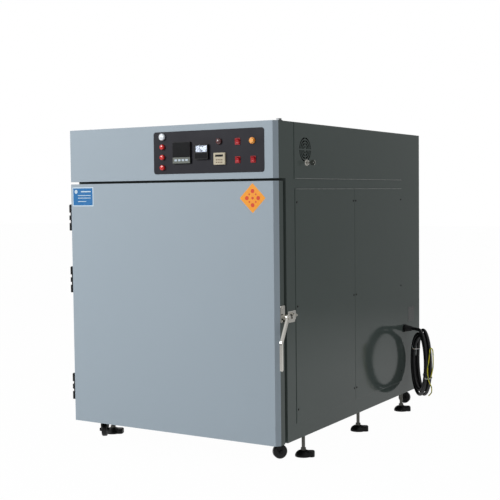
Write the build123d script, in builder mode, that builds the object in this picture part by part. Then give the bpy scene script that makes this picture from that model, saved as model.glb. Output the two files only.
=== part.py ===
from build123d import *
from math import cos, pi, radians, sin, tan
import os

os.makedirs("parts", exist_ok=True)

# Curing oven on casters and levelling feet, in millimetres.
# X runs to the right, Y to the back and Z up. The door faces -Y and the floor is Z = 0.

# Cabinet
cabinet_width = 1138.0
cabinet_depth = 1568.0  # door face to rear cover
cabinet_height = 1380.0  # underside of the base to the roof
floor_gap = 112.0
front_step = 78.0  # the door and the header stand this far in front of the landing
header_height = 242.0
door_gap = 11.0  # between the door and the header
sheet = 2.0
base_height = 70.0
base_rail = 84.0
base_floor = 4.0
base_wall = 4.0
boss_radius = 20.0
boss_height = 46.0
base_bays = 3
post_depth = 77.0
rear_bay = 246.0  # motor space behind the chamber
roof_flange = 18.0

# Front pans, with slanted vertical edges
pan_sheet = 1.5
pan_depth = 20.0
pan_slant = 16.5

# Chamber
liner_sheet = 1.5
side_wool = 100.0
floor_wool = 100.0
roof_wool = 102.0
rear_wool = 144.0  # chamber back to the motor bay
duct_depth = 120.0
duct_sheet = 1.5

# Door
door_back = 57.0  # front face to the back of the door frame
door_inset = 1.5  # door frame behind the cabinet's side planes
frame_wall = 2.0
frame_lip = 24.0
plug_depth = 50.0
plug_gap = 10.0
gasket_width = 22.0
gasket_inset = 12.0
gasket_corner = 30.0
seal_gap = 0.3

# Hinges
hinge_low = 153.0  # lowest hinge above the underside of the base
hinge_drop = 159.0  # highest hinge below the door's top
hinge_share = 0.595  # middle hinge, as a share of the door's height
hinge_height = 122.0
hinge_out = 22.0  # pin axis outside the cabinet's side plane
hinge_back = 45.0  # pin axis behind the door face
knuckle_radius = 11.5
end_knuckle = 36.0
mid_knuckle = 22.0
pin_radius = 6.0
pin_play = 0.05
pin_head = 3.0
pin_head_step = 2.0
leaf_sheet = 4.0
frame_leaf_length = 66.0
frame_leaf_start = 6.0
door_leaf_height = 40.0
door_leaf_length = 30.0

# Latch
latch_share = 0.4987  # centre of the latch plate, as a share of the door's height
latch_plate_height = 72.0
latch_plate_depth = 34.0
latch_plate = 6.0
lever_axis_back = 50.0  # pivot behind the door face
lever_axis_drop = 14.0  # pivot below the plate's centre
lever_out = 17.0  # inner face of the lever outside the side plane
lever_sheet = 9.0
lever_bar = 16.0
lever_boss = 14.0
lever_pin = 6.0
lever_post = 10.0
lever_nut = 5.0
lever_edge = 1.5
lever_bend_radius = 30.0
hook_bar = 16.0
hook_width = 9.0
hook_rise = 6.0
bolt_head = 4.0
bolt_rise = 2.5
bolt_aside = 7.0
bolt_pitch = 56.0
lever_bend_fore = 58.0
lever_bend_drop = 103.0
lever_grip = 112.0
roller_radius = 7.0
roller_back = 38.0  # roller axis behind the lever's pivot
hook_play = 0.5
keeper_sheet = 4.0
keeper_start = 4.0  # behind the landing
keeper_length = 70.0
keeper_height = 40.0
keeper_bolt_pitch = 26.0
keeper_bolt_step = 8.0
roller_end = 2.0
nut_rise = 5.0
bolt_end = 7.0

# Side panels
panel_proud = 2.5
panel_joint = 1.5
lower_panel_drop = 44.0  # top of the lower panels below the header
front_panel_length = 592.0
panel_overlap = 29.0
panel_lead = 5.0  # the upper panels start this far before the lower ones
panel_edge = 1.2

# Vent and cooling fan in the upper right panel
vent_from_post = 96.0
vent_drop = 116.0
vent_rings = 4
vent_first_ring = 14.0
vent_ring_pitch = 12.0
vent_slot = 7.0
vent_bar = 12.0
fan_size = 92.0
fan_depth = 38.0
fan_bore = 43.0
fan_corner = 5.0
fan_screw_pitch = 82.5
fan_screw_hole = 2.2
fan_strut = 4.0
fan_pin = 3.0
fan_hub = 20.0
fan_blades = 7
fan_play = 2.0
blade_pitch = 55.0
blade_twist = 20.0
blade_thick = 1.8

# Cam lock below the vent
lock_from_post = 107.0
lock_drop = 173.0
lock_radius = 9.5
lock_flange = 15.0
lock_rim = 3.0
lock_nose = 11.0
lock_grip = 10.0  # barrel behind the side plane
plug_radius = 7.0
cam_length = 58.0
cam_width = 16.0
cam_sheet = 3.0
key_bow = 12.5
key_blade = 8.0
key_hole = 2.5
key_sheet = 2.5
key_length = 20.0

# Control plate
plate_width = 574.0
plate_height = 187.0
plate_right = 57.5  # plate's right edge inside the side plane
plate_drop = 28.0
plate_sheet = 1.5
plate_corner = 12.0
lamp_column = -237.0
white_lamp_row = 71.5
red_lamp_row = 26.5
red_lamp_pitch = 45.5
white_lamp_radius = 17.0
red_lamp_radius = 13.0
lamp_rise = 12.0
stem_radius = 10.0
stem_length = 34.0
beacon_spot = (63.0, 41.5)
beacon_radius = 15.0
controller_spot = (-131.0, -2.0)
controller_size = 96.0
controller_rise = 9.0
controller_body = 90.0
controller_depth = 60.0
meter_spot = (-25.5, -1.0)
meter_width = 71.0
meter_height = 65.0
meter_rise = 12.0
meter_window = 29.0
meter_margin = 4.0
meter_recess = 6.0
meter_body = 26.0
meter_depth = 44.0
needle_length = 19.0
needle_width = 1.2
timer_spot = (66.5, -32.5)
timer_width = 59.0
timer_height = 52.0
timer_rise = 8.0
timer_body_width = 45.0
timer_body_height = 45.0
timer_depth = 58.0
switch_columns = (157.0, 234.0)
switch_rows = (38.5, -39.5)
switch_width = 25.0
switch_height = 29.0
switch_rise = 2.5
switch_rim = 2.4
switch_wall = 0.6
switch_well = 14.0
rocker_tilt = 10.0
rocker_depth = 5.0  # rocker pivots behind the frame's face
rocker_rise = 4.0
rocker_play = 0.6
rocker_pin = 1.2
rocker_pin_gap = 0.1
button_spot = (230.0, 40.0)
button_ring = 14.0
button_ring_height = 5.5
button_radius = 10.5
button_play = 0.4
button_rise = 6.0
button_travel = 4.0

# Blower behind the chamber
blower_radius = 115.0
blower_width = 56.0
blower_blades = 12
intake_radius = 76.0
intake_rings = 5
shaft_radius = 10.0
shaft_play = 0.05
shaft_clear = 3.0
motor_radius = 78.0
motor_length = 170.0
motor_flange = 105.0
motor_fins = 16
heater_radius = 7.0
heater_bend = 45.0
heater_count = 3

# Shelves
shelf_heights = (290.0, 575.0)  # above the chamber floor
shelf_stop = 18.5  # shelves end in front of the air duct
shelf_rim = 12.0
shelf_bar = 6.0
shelf_bars = 14
shelf_play = 6.0
rail_leg = 26.0
rail_sheet = 2.0

# Casters and feet
caster_inset = 93.0
caster_front = 50.0  # front swivel axes behind the landing
caster_rear = 45.0
caster_turns = (-58.6, 48.7, 11.0, 160.0)  # direction of each wheel from its swivel axis
caster_clear = 22.0
wheel_radius = 32.0
wheel_width = 26.0
caster_trail = 22.0
caster_plate = 3.0
caster_plate_width = 62.0
caster_plate_length = 62.0
race_radius = 23.0
race_height = 6.0
kingpin = 6.0
kingpin_end = 4.0
crown_sheet = 6.0
crown_lead = 9.0
crown_length = 38.0
fork_gap = 31.0
fork_sheet = 3.0
axle_radius = 4.0
hub_radius = 9.0
nut_radius = 8.0
nut_height = 6.0
right_foot_inset = 49.5
left_foot_inset = 38.0
right_foot_front = 230.0  # front feet behind the landing
left_foot_front = 177.0
foot_middle_share = 0.54  # middle feet, as a share of the base's length
foot_rear = 141.0  # rear feet in front of the back
foot_pad_radius = 38.0
foot_pad_height = 28.0
foot_pad_rim = 7.0
foot_socket = 8.0
foot_lug_reach = 51.0  # end of the floor lug from the stud's axis
foot_lug_width = 52.0
foot_lug_height = 23.0
foot_lug_turn = 25.0
foot_stud_radius = 8.0
foot_nut_radius = 15.0
foot_nut_height = 18.0
foot_collar_radius = 13.5
foot_collar_height = 10.0
foot_thread = 40.0

# Mains cable
gland_ahead = 213.0  # in front of the back
gland_height = 350.0
gland_radius = 19.0
gland_nut = 22.0
gland_length = 45.0
gland_thread = 15.0
gland_bore = 12.0
cable_radius = 8.5
coil_angle = -48.0  # the coil's plane, turned from +X
coil_half_width = 120.0
coil_half_height = 182.0
coil_band = 44.0
coil_depth = 44.0
coil_edge = 11.0
coil_height = 178.0  # coil centre above the underside of the base
coil_out = 105.0  # outside the side plane
coil_ahead = 232.0  # in front of the back
earth_radius = 3.0
tie_width = 5.0
tie_sheet = 1.5
tie_angles = (153.0, -22.0)  # round the coil, from its outer end

# Louvres, duct outlets and small clearances inside
louvre_length = 150.0
louvre_height = 8.0
louvre_pitch = 24.0
louvre_rows = 6
outlet_length = 110.0
outlet_height = 9.0
outlet_rows = 12
outlet_pitch = 62.0
intake_first_ring = 20.0
duct_play = 2.0
blower_gap = 16.0  # wheel behind the duct's front
motor_plate = 8.0
motor_bore_depth = 119.0
fin_height = 7.0
fin_width = 4.0
terminal_width = 70.0
terminal_length = 90.0
terminal_height = 46.0
heater_start = 60.0  # first element outside the blower wheel
heater_pitch = 72.0
heater_margin = 60.0  # elements above the floor and below the roof
rail_start = 60.0  # rails behind the landing
plug_corner = 3.0

# Working places
side_x = cabinet_width / 2
inner_x = side_x - sheet
front_y = -cabinet_depth / 2
landing_y = front_y + front_step
rear_y = front_y + cabinet_depth
bay_y = rear_y - rear_bay
base_z = floor_gap
base_top = base_z + base_height
top_z = base_z + cabinet_height
header_z = top_z - header_height
door_top = header_z - door_gap
door_height = door_top - base_z
post_y = landing_y + post_depth
chamber_x = side_x - sheet - side_wool
chamber_floor = base_top + floor_wool
chamber_roof = header_z - sheet - roof_wool
chamber_back = bay_y - rear_wool
chamber_mid = (chamber_floor + chamber_roof) / 2
front_plane = Plane.XZ.offset(-front_y)
right_plane = Plane.YZ.offset(side_x)
plate_x = side_x - plate_right - plate_width / 2
plate_z = top_z - plate_drop - plate_height / 2

built = {}


def slab(x_low, x_high, y_low, y_high, z_low, z_high, mode=Mode.ADD):
    """A flat sheet or filling between six planes."""
    with Locations(((x_low + x_high) / 2, (y_low + y_high) / 2, (z_low + z_high) / 2)):
        Box(x_high - x_low, y_high - y_low, z_high - z_low, mode=mode)


def on_plate(spot):
    """A place on the control plate, as X and Z."""
    return plate_x + spot[0], plate_z + spot[1]


def arc_slots(rings, first, pitch, slot, bar):
    """Rings of curved slots, parted by a cross of bars."""
    for ring in reversed(range(rings)):
        middle = first + ring * pitch
        Circle(middle + slot / 2)
        Circle(middle - slot / 2, mode=Mode.SUBTRACT)
    reach = 2 * (first + rings * pitch)
    Rectangle(bar, reach, mode=Mode.SUBTRACT)
    Rectangle(reach, bar, mode=Mode.SUBTRACT)


# Base: a closed tray with cross rails, which carries the casters and the feet
base_length = rear_y - landing_y
foot_middle_y = landing_y + foot_middle_share * base_length
left_foot_x = left_foot_inset - side_x
right_foot_x = side_x - right_foot_inset
foot_points = [(left_foot_x, y) for y in (landing_y + left_foot_front, foot_middle_y, rear_y - foot_rear)]
foot_points += [(right_foot_x, y) for y in (landing_y + right_foot_front, foot_middle_y, rear_y - foot_rear)]
bay_pitch = (base_length - base_rail) / base_bays
with BuildPart() as base_frame:
    slab(-side_x, side_x, landing_y, rear_y, base_z, base_top)
    with BuildSketch(Plane.XY.offset(base_z + base_floor)):
        with Locations((0, (landing_y + rear_y) / 2)):
            with GridLocations(1, bay_pitch, 1, base_bays):
                Rectangle(cabinet_width - 2 * base_rail, bay_pitch - base_rail)
    extrude(amount=base_height, mode=Mode.SUBTRACT)
    rail_hollow = base_rail - 2 * base_wall
    with BuildSketch(Plane.XY.offset(base_z + base_floor)):
        with Locations((0, (landing_y + rear_y) / 2)):
            with GridLocations(cabinet_width - base_rail, 1, 2, 1):
                Rectangle(rail_hollow, base_length - 2 * base_wall)
            with GridLocations(1, bay_pitch, 1, base_bays + 1):
                Rectangle(cabinet_width - 2 * base_rail, rail_hollow)
    extrude(amount=base_height, mode=Mode.SUBTRACT)
    with BuildSketch(Plane.XY.offset(base_z)):
        with Locations(*foot_points):
            Circle(boss_radius)
    extrude(amount=boss_height)
    with BuildSketch(Plane.XY.offset(base_z)):
        with Locations(*foot_points):
            Circle(foot_stud_radius)
    extrude(amount=foot_thread, mode=Mode.SUBTRACT)
built["base_frame"] = base_frame

# Landing around the chamber's mouth, folded back into the two front posts
with BuildPart() as front_frame:
    slab(-side_x, side_x, landing_y, post_y, base_top, top_z - sheet)
    slab(-side_x + sheet, side_x - sheet, landing_y + sheet, post_y, base_top, top_z - sheet, Mode.SUBTRACT)
    slab(-chamber_x, chamber_x, landing_y, post_y, chamber_floor, chamber_roof, Mode.SUBTRACT)
built["front_frame"] = front_frame

# Inner side walls between the posts and the rear cover
wall_top = header_z + panel_overlap
with BuildPart() as side_walls:
    slab(inner_x, side_x, post_y, bay_y, base_top, wall_top)
    mirror(about=Plane.YZ)
built["side_walls"] = side_walls

# Rear cover, a folded U with louvre slots for the motor
with BuildPart() as rear_cover:
    slab(-side_x, side_x, bay_y, rear_y, base_top, top_z - sheet)
    slab(-side_x + sheet, side_x - sheet, bay_y, rear_y - sheet, base_top, top_z - sheet, Mode.SUBTRACT)
    with BuildSketch(Plane.XZ.offset(-rear_y)):
        for height in (chamber_floor, chamber_roof):
            with Locations((0, height)):
                with GridLocations(2 * louvre_length, louvre_pitch, 2, louvre_rows):
                    SlotOverall(louvre_length, louvre_height)
    extrude(amount=sheet, mode=Mode.SUBTRACT)
    with BuildSketch(right_plane):
        with Locations((rear_y - gland_ahead, base_z + gland_height)):
            Circle(gland_thread)
    extrude(amount=-sheet, mode=Mode.SUBTRACT)
built["rear_cover"] = rear_cover

# Roof, a shallow tray turned down inside the walls
with BuildPart() as roof_panel:
    slab(-side_x, side_x, landing_y, rear_y, top_z - sheet, top_z)
    slab(-inner_x, inner_x, landing_y + sheet, rear_y - sheet, top_z - roof_flange, top_z - sheet)
    slab(
        -inner_x + sheet,
        inner_x - sheet,
        landing_y + 2 * sheet,
        rear_y - 2 * sheet,
        top_z - roof_flange,
        top_z - sheet,
        Mode.SUBTRACT,
    )
built["roof_panel"] = roof_panel

# Floor of the control bay, and the wall between the chamber and the motor bay
with BuildPart() as inner_bulkheads:
    slab(-inner_x, inner_x, landing_y + sheet, bay_y - sheet - seal_gap, header_z - sheet, header_z)
    slab(-inner_x, inner_x, bay_y - sheet, bay_y, base_top, top_z - roof_flange)
    with BuildSketch(Plane.XZ.offset(-bay_y)):
        with Locations((0, chamber_mid)):
            Circle(shaft_radius + shaft_clear)
    extrude(amount=sheet, mode=Mode.SUBTRACT)
built["inner_bulkheads"] = inner_bulkheads

# Mineral wool round the chamber, in five slabs
wool_front = landing_y + sheet
wool_back = bay_y - sheet
with BuildPart() as chamber_insulation:
    slab(-inner_x, inner_x, wool_front, wool_back, base_top, chamber_floor)
    slab(-inner_x, inner_x, wool_front, wool_back, chamber_roof, header_z - sheet)
    slab(-inner_x, -chamber_x, wool_front, wool_back, chamber_floor + seal_gap, chamber_roof - seal_gap)
    slab(chamber_x, inner_x, wool_front, wool_back, chamber_floor + seal_gap, chamber_roof - seal_gap)
    slab(
        -chamber_x + seal_gap,
        chamber_x - seal_gap,
        chamber_back,
        wool_back,
        chamber_floor + seal_gap,
        chamber_roof - seal_gap,
    )
    with BuildSketch(Plane.XZ.offset(-chamber_back)):
        with Locations((0, chamber_mid)):
            Circle(shaft_radius + shaft_clear)
    extrude(amount=-(wool_back - chamber_back), mode=Mode.SUBTRACT)
built["chamber_insulation"] = chamber_insulation

# Bright chamber lining, open at the front
with BuildPart() as chamber_liner:
    slab(-chamber_x, chamber_x, landing_y, chamber_back, chamber_floor, chamber_roof)
    offset(amount=-liner_sheet, openings=chamber_liner.faces().sort_by(Axis.Y)[0])
    with BuildSketch(Plane.XZ.offset(-chamber_back)):
        with Locations((0, chamber_mid)):
            Circle(shaft_radius + shaft_clear)
    extrude(amount=liner_sheet, mode=Mode.SUBTRACT)
built["chamber_liner"] = chamber_liner

# Air duct in front of the rear wall: intake guard in the middle, outlet slots down both sides
liner_x = chamber_x - liner_sheet
liner_floor = chamber_floor + liner_sheet
liner_roof = chamber_roof - liner_sheet
liner_back = chamber_back - liner_sheet
duct_y = liner_back - duct_depth
duct_x = liner_x - duct_play
with BuildPart() as air_duct:
    slab(-duct_x, duct_x, duct_y, liner_back, liner_floor, liner_roof - duct_play)
    offset(amount=-duct_sheet, openings=air_duct.faces().sort_by(Axis.Y)[-1])
    with BuildSketch(Plane.XZ.offset(-duct_y)):
        with Locations((0, chamber_mid)):
            with Locations((0, 0)):
                arc_slots(intake_rings, intake_first_ring, vent_ring_pitch, vent_slot, vent_bar)
            with GridLocations(2 * (duct_x - outlet_length), outlet_pitch, 2, outlet_rows):
                SlotOverall(outlet_length, outlet_height)
    extrude(amount=-duct_sheet, mode=Mode.SUBTRACT)
built["air_duct"] = air_duct

# Circulation blower: hub, back disc, curved blades and front ring on one shaft
blower_front = duct_y + duct_sheet + blower_gap
blower_plane = Plane((0, blower_front, chamber_mid), x_dir=(1, 0, 0), z_dir=(0, 1, 0))
shaft_end = bay_y + motor_bore_depth - shaft_clear
with BuildPart() as blower_wheel:
    with BuildSketch(blower_plane):
        Circle(blower_radius)
        Circle(intake_radius, mode=Mode.SUBTRACT)
    extrude(amount=liner_sheet)
    with BuildSketch(blower_plane.offset(blower_width)):
        Circle(blower_radius)
    extrude(amount=liner_sheet)
    with BuildSketch(blower_plane):
        with PolarLocations((blower_radius + intake_radius) / 2, blower_blades):
            with Locations(Location((0, 0, 0), (0, 0, 35))):
                Rectangle(blower_radius - intake_radius, liner_sheet)
    extrude(amount=blower_width)
    with BuildSketch(blower_plane.offset(blower_width / 2)):
        Circle(2.4 * shaft_radius)
    extrude(amount=blower_width / 2)
    with BuildSketch(blower_plane.offset(blower_width / 2)):
        Circle(shaft_radius)
    extrude(amount=shaft_end - blower_front - blower_width / 2)
built["blower_wheel"] = blower_wheel

# Blower motor on the bulkhead, finned, with a bore for the shaft
motor_plane = Plane((0, bay_y, chamber_mid), x_dir=(1, 0, 0), z_dir=(0, 1, 0))
with BuildPart() as blower_motor:
    with BuildSketch(motor_plane):
        Circle(motor_flange)
    extrude(amount=motor_plate)
    with BuildSketch(motor_plane):
        Circle(motor_radius)
        with PolarLocations(motor_radius, motor_fins):
            Rectangle(2 * fin_height, fin_width)
    extrude(amount=motor_length)
    fillet(blower_motor.faces().sort_by(Axis.Y)[-1].edges().filter_by(GeomType.CIRCLE), 1.5)
    with BuildSketch(motor_plane):
        Circle(shaft_radius + shaft_play)
    extrude(amount=motor_bore_depth, mode=Mode.SUBTRACT)
    with BuildSketch(Plane.XY.offset(chamber_mid + motor_radius - fin_height)):
        with Locations((0, bay_y + motor_length / 2)):
            RectangleRounded(terminal_width, terminal_length, fin_height)
    extrude(amount=terminal_height)
built["blower_motor"] = blower_motor

# Hairpin heating elements in the duct, each side of the blower
heater_x = blower_radius + heater_start
heater_y = duct_y + duct_depth / 2
heater_low = liner_floor + heater_margin
heater_high = liner_roof - heater_margin
with BuildPart() as heater_elements:
    for side in (-1, 1):
        for number in range(heater_count):
            x = side * (heater_x + number * heater_pitch)
            with BuildLine() as hairpin:
                FilletPolyline(
                    (x, liner_back, heater_low),
                    (x, heater_y, heater_low),
                    (x, heater_y, heater_high),
                    (x, liner_back, heater_high),
                    radius=heater_bend / 2,
                )
            with BuildSketch(Plane((x, liner_back, heater_low), z_dir=(0, -1, 0))):
                Circle(heater_radius)
            sweep(path=hairpin.wires()[0])
built["heater_elements"] = heater_elements

# Shelf rails on the chamber's sides: angles, two a side
rail_front = landing_y + rail_start
rail_back = duct_y - shelf_stop
shelf_depth = rail_back - rail_front
with BuildPart() as shelf_rails:
    for height in shelf_heights:
        level = liner_floor + height
        with BuildSketch(Plane.XZ.offset(-rail_front)):
            with BuildLine():
                Polyline(
                    (liner_x, level - rail_leg),
                    (liner_x, level),
                    (liner_x - rail_leg, level),
                    (liner_x - rail_leg, level - rail_sheet),
                    (liner_x - rail_sheet, level - rail_sheet),
                    (liner_x - rail_sheet, level - rail_leg),
                    close=True,
                )
            make_face()
        extrude(amount=-shelf_depth)
    mirror(about=Plane.YZ)
built["shelf_rails"] = shelf_rails

# Two bar shelves, resting on the rails
shelf_x = liner_x - shelf_play
shelf_pitch = (shelf_depth - shelf_rim) / (shelf_bars + 1)
with BuildPart() as shelves:
    for height in shelf_heights:
        with BuildSketch(Plane.XY.offset(liner_floor + height)):
            with Locations((0, (rail_front + rail_back) / 2)):
                Rectangle(2 * shelf_x, shelf_depth)
                Rectangle(2 * (shelf_x - shelf_rim), shelf_depth - 2 * shelf_rim, mode=Mode.SUBTRACT)
                with GridLocations(1, shelf_pitch, 1, shelf_bars):
                    Rectangle(2 * shelf_x - shelf_rim, shelf_bar)
                Rectangle(shelf_rim, shelf_depth - shelf_rim)
        extrude(amount=shelf_rim)
built["shelves"] = shelves

# Door: front pan, frame behind it, wool, plug lining and gasket
door_mid = (base_z + door_top) / 2


def front_pan(z_low, z_high):
    """A sheet pan with slanted vertical edges, open at the back, as a part to add."""
    with BuildPart() as pan:
        with BuildSketch(Plane.XY.offset(z_low)):
            with BuildLine():
                Polyline(
                    (-side_x, front_y + pan_depth),
                    (-side_x + pan_slant, front_y),
                    (side_x - pan_slant, front_y),
                    (side_x, front_y + pan_depth),
                    close=True,
                )
            make_face()
        extrude(amount=z_high - z_low)
        offset(amount=-pan_sheet, openings=pan.faces().sort_by(Axis.Y)[-1])
    return pan.part


door_pan = front_pan(base_z, door_top)
header_pan = front_pan(header_z, top_z)
with BuildPart() as door_skin:
    add(door_pan)
built["door_skin"] = door_skin

frame_x = side_x - door_inset
frame_front = front_y + pan_depth
frame_back = front_y + door_back
with BuildPart() as door_frame:
    slab(-frame_x, frame_x, frame_front, frame_back, base_z, door_top)
    slab(
        -frame_x + frame_lip,
        frame_x - frame_lip,
        frame_front,
        frame_back,
        base_z + frame_lip,
        door_top - frame_lip,
        Mode.SUBTRACT,
    )
    slab(
        -frame_x + frame_wall,
        frame_x - frame_wall,
        frame_front,
        frame_back - frame_wall,
        base_z + frame_wall,
        door_top - frame_wall,
        Mode.SUBTRACT,
    )
built["door_frame"] = door_frame

plug_x = liner_x - plug_gap
plug_floor = liner_floor + plug_gap
plug_roof = liner_roof - plug_gap
liner_plate = frame_back + liner_sheet
with BuildPart() as door_liner:
    slab(
        -frame_x + 2 * frame_wall,
        frame_x - 2 * frame_wall,
        frame_back,
        liner_plate,
        base_z + 2 * frame_wall,
        door_top - 2 * frame_wall,
    )
    slab(-plug_x, plug_x, liner_plate, liner_plate + plug_depth, plug_floor, plug_roof)
    fillet(door_liner.faces().sort_by(Axis.Y)[-1].edges(), plug_corner)
    slab(
        -plug_x + liner_sheet,
        plug_x - liner_sheet,
        frame_back,
        liner_plate + plug_depth - liner_sheet,
        plug_floor + liner_sheet,
        plug_roof - liner_sheet,
        Mode.SUBTRACT,
    )
built["door_liner"] = door_liner

with BuildPart() as door_core:
    slab(
        -frame_x + frame_wall,
        frame_x - frame_wall,
        frame_front,
        frame_back - frame_wall,
        base_z + frame_wall,
        door_top - frame_wall,
    )
    slab(
        -plug_x + liner_sheet,
        plug_x - liner_sheet,
        frame_back - frame_wall,
        liner_plate + plug_depth - liner_sheet,
        plug_floor + liner_sheet,
        plug_roof - liner_sheet,
    )
built["door_core"] = door_core

with BuildPart() as door_gasket:
    with BuildSketch(Plane.XZ.offset(-liner_plate)):
        with Locations((0, door_mid)):
            outer_x = cabinet_width - 2 * gasket_inset
            outer_z = door_height - 2 * gasket_inset
            RectangleRounded(outer_x, outer_z, gasket_corner)
            RectangleRounded(
                outer_x - 2 * gasket_width,
                outer_z - 2 * gasket_width,
                gasket_corner - gasket_width / 2,
                mode=Mode.SUBTRACT,
            )
    extrude(amount=-(landing_y - liner_plate - seal_gap))
    fillet(door_gasket.faces().sort_by(Axis.Y)[-1].edges(), gasket_width / 4)
built["door_gasket"] = door_gasket

# Header: light pan in front, dark box behind it
instrument_holes = [
    (controller_spot, controller_body, controller_body),
    (meter_spot, 2 * meter_body, 2 * meter_body),
    (timer_spot, timer_body_width, timer_body_height),
]
switch_spots = [
    (switch_columns[0], switch_rows[0]),
    (switch_columns[0], switch_rows[1]),
    (switch_columns[1], switch_rows[1]),
]
red_lamp_spots = [(lamp_column, red_lamp_row - number * red_lamp_pitch) for number in range(3)]
lamp_spots = [(lamp_column, white_lamp_row)] + red_lamp_spots + [beacon_spot]
body_width = switch_width - 2 * switch_rim
body_height = switch_height - 2 * switch_rim


def panel_cutouts():
    """The holes that the instruments pass through, shared by the plate and the pan behind it."""
    for spot, width, height in instrument_holes:
        with Locations(on_plate(spot)):
            Rectangle(width, height)
    for spot in switch_spots:
        with Locations(on_plate(spot)):
            Rectangle(body_width, body_height)
    for spot in lamp_spots + [button_spot]:
        with Locations(on_plate(spot)):
            Circle(stem_radius)


with BuildPart() as header_fascia:
    add(header_pan)
    with BuildSketch(front_plane):
        panel_cutouts()
    extrude(amount=-pan_sheet, mode=Mode.SUBTRACT)
built["header_fascia"] = header_fascia

with BuildPart() as header_box:
    slab(-side_x, side_x, frame_front, landing_y, header_z, top_z)
    box_ends = header_box.faces().filter_by(Axis.Y)
    offset(amount=-sheet, openings=box_ends)
built["header_box"] = header_box

plate_front = front_plane.offset(plate_sheet)
with BuildPart() as control_plate:
    with BuildSketch(front_plane):
        with Locations((plate_x, plate_z)):
            RectangleRounded(plate_width, plate_height, plate_corner)
    extrude(amount=plate_sheet)
    with BuildSketch(front_plane):
        panel_cutouts()
    extrude(amount=plate_sheet, mode=Mode.SUBTRACT)
built["control_plate"] = control_plate

# Temperature controller, with a shallow recess for its display
with BuildPart() as controller:
    with BuildSketch(plate_front):
        with Locations(on_plate(controller_spot)):
            RectangleRounded(controller_size, controller_size, 3)
    extrude(amount=controller_rise, taper=6)
    with BuildSketch(plate_front):
        with Locations(on_plate(controller_spot)):
            Rectangle(controller_body, controller_body)
    extrude(amount=-controller_depth)
    display_x, display_z = on_plate(controller_spot)
    with BuildSketch(plate_front.offset(controller_rise)):
        with Locations((display_x, display_z + controller_size / 6)):
            RectangleRounded(controller_size - 16, controller_size / 2 - 6, 3)
    extrude(amount=-2, mode=Mode.SUBTRACT)
built["controller"] = controller

# Ammeter: case with a recessed dial, and its needle
meter_x, meter_z = on_plate(meter_spot)
dial_z = meter_z + meter_height / 2 - meter_margin - meter_window / 2
dial_plane = plate_front.offset(meter_rise - meter_recess)
needle_z = dial_z - meter_window / 2 + 5.0
with BuildPart() as ammeter:
    with BuildSketch(plate_front):
        with Locations((meter_x, meter_z)):
            RectangleRounded(meter_width, meter_height, 2.5)
    extrude(amount=meter_rise)
    chamfer(ammeter.faces().sort_by(Axis.Y)[0].edges(), 1)
    with BuildSketch(plate_front):
        with Locations((meter_x, meter_z)):
            Circle(meter_body)
    extrude(amount=-meter_depth)
    with BuildSketch(dial_plane):
        with Locations((meter_x, dial_z)):
            Rectangle(meter_width - 2 * meter_margin, meter_window)
    extrude(amount=meter_recess, mode=Mode.SUBTRACT)
    with BuildSketch(dial_plane):
        with Locations((meter_x, needle_z)):
            Circle(1.5)
    extrude(amount=3)
built["ammeter"] = ammeter

with BuildPart() as ammeter_needle:
    with BuildSketch(dial_plane.offset(1)):
        with Locations((meter_x, needle_z)):
            Circle(3)
            with Locations(Location((0, 0, 0), (0, 0, 45))):
                with Locations((0, needle_length / 2)):
                    Trapezoid(2 * needle_width, needle_length, 88)
            Circle(1.55, mode=Mode.SUBTRACT)
    extrude(amount=1)
built["ammeter_needle"] = ammeter_needle

# Timer with a display recess and two rows of setting windows
with BuildPart() as timer:
    with BuildSketch(plate_front):
        with Locations(on_plate(timer_spot)):
            RectangleRounded(timer_width, timer_height, 2.5)
    extrude(amount=timer_rise, taper=5)
    with BuildSketch(plate_front):
        with Locations(on_plate(timer_spot)):
            Rectangle(timer_body_width, timer_body_height)
    extrude(amount=-timer_depth)
    timer_x, timer_z = on_plate(timer_spot)
    with BuildSketch(plate_front.offset(timer_rise)):
        with Locations((timer_x, timer_z + timer_height / 4)):
            Rectangle(timer_width - 18, timer_height / 5)
        with Locations((timer_x, timer_z - timer_height / 5)):
            with GridLocations(9, 11, 4, 2):
                Rectangle(6, 5)
    extrude(amount=-1.2, mode=Mode.SUBTRACT)
built["timer"] = timer

# Signal lamps: domed lenses on threaded stems
with BuildPart() as signal_lamps:
    radii = [white_lamp_radius] + [red_lamp_radius] * len(red_lamp_spots) + [beacon_radius]
    for spot, radius in zip(lamp_spots, radii):
        x, z = on_plate(spot)
        with BuildSketch(Plane((x, front_y - plate_sheet, z), x_dir=(1, 0, 0), z_dir=(0, 0, 1))):
            with BuildLine():
                Line((0, stem_length), (0, -lamp_rise))
                RadiusArc((0, -lamp_rise), (radius, -lamp_rise / 4), -1.05 * radius)
                Polyline(
                    (radius, -lamp_rise / 4),
                    (radius, 0),
                    (stem_radius, 0),
                    (stem_radius, stem_length),
                    (0, stem_length),
                )
            make_face()
        revolve(axis=Axis((x, front_y, z), (0, 1, 0)))
built["signal_lamps"] = signal_lamps

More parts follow.
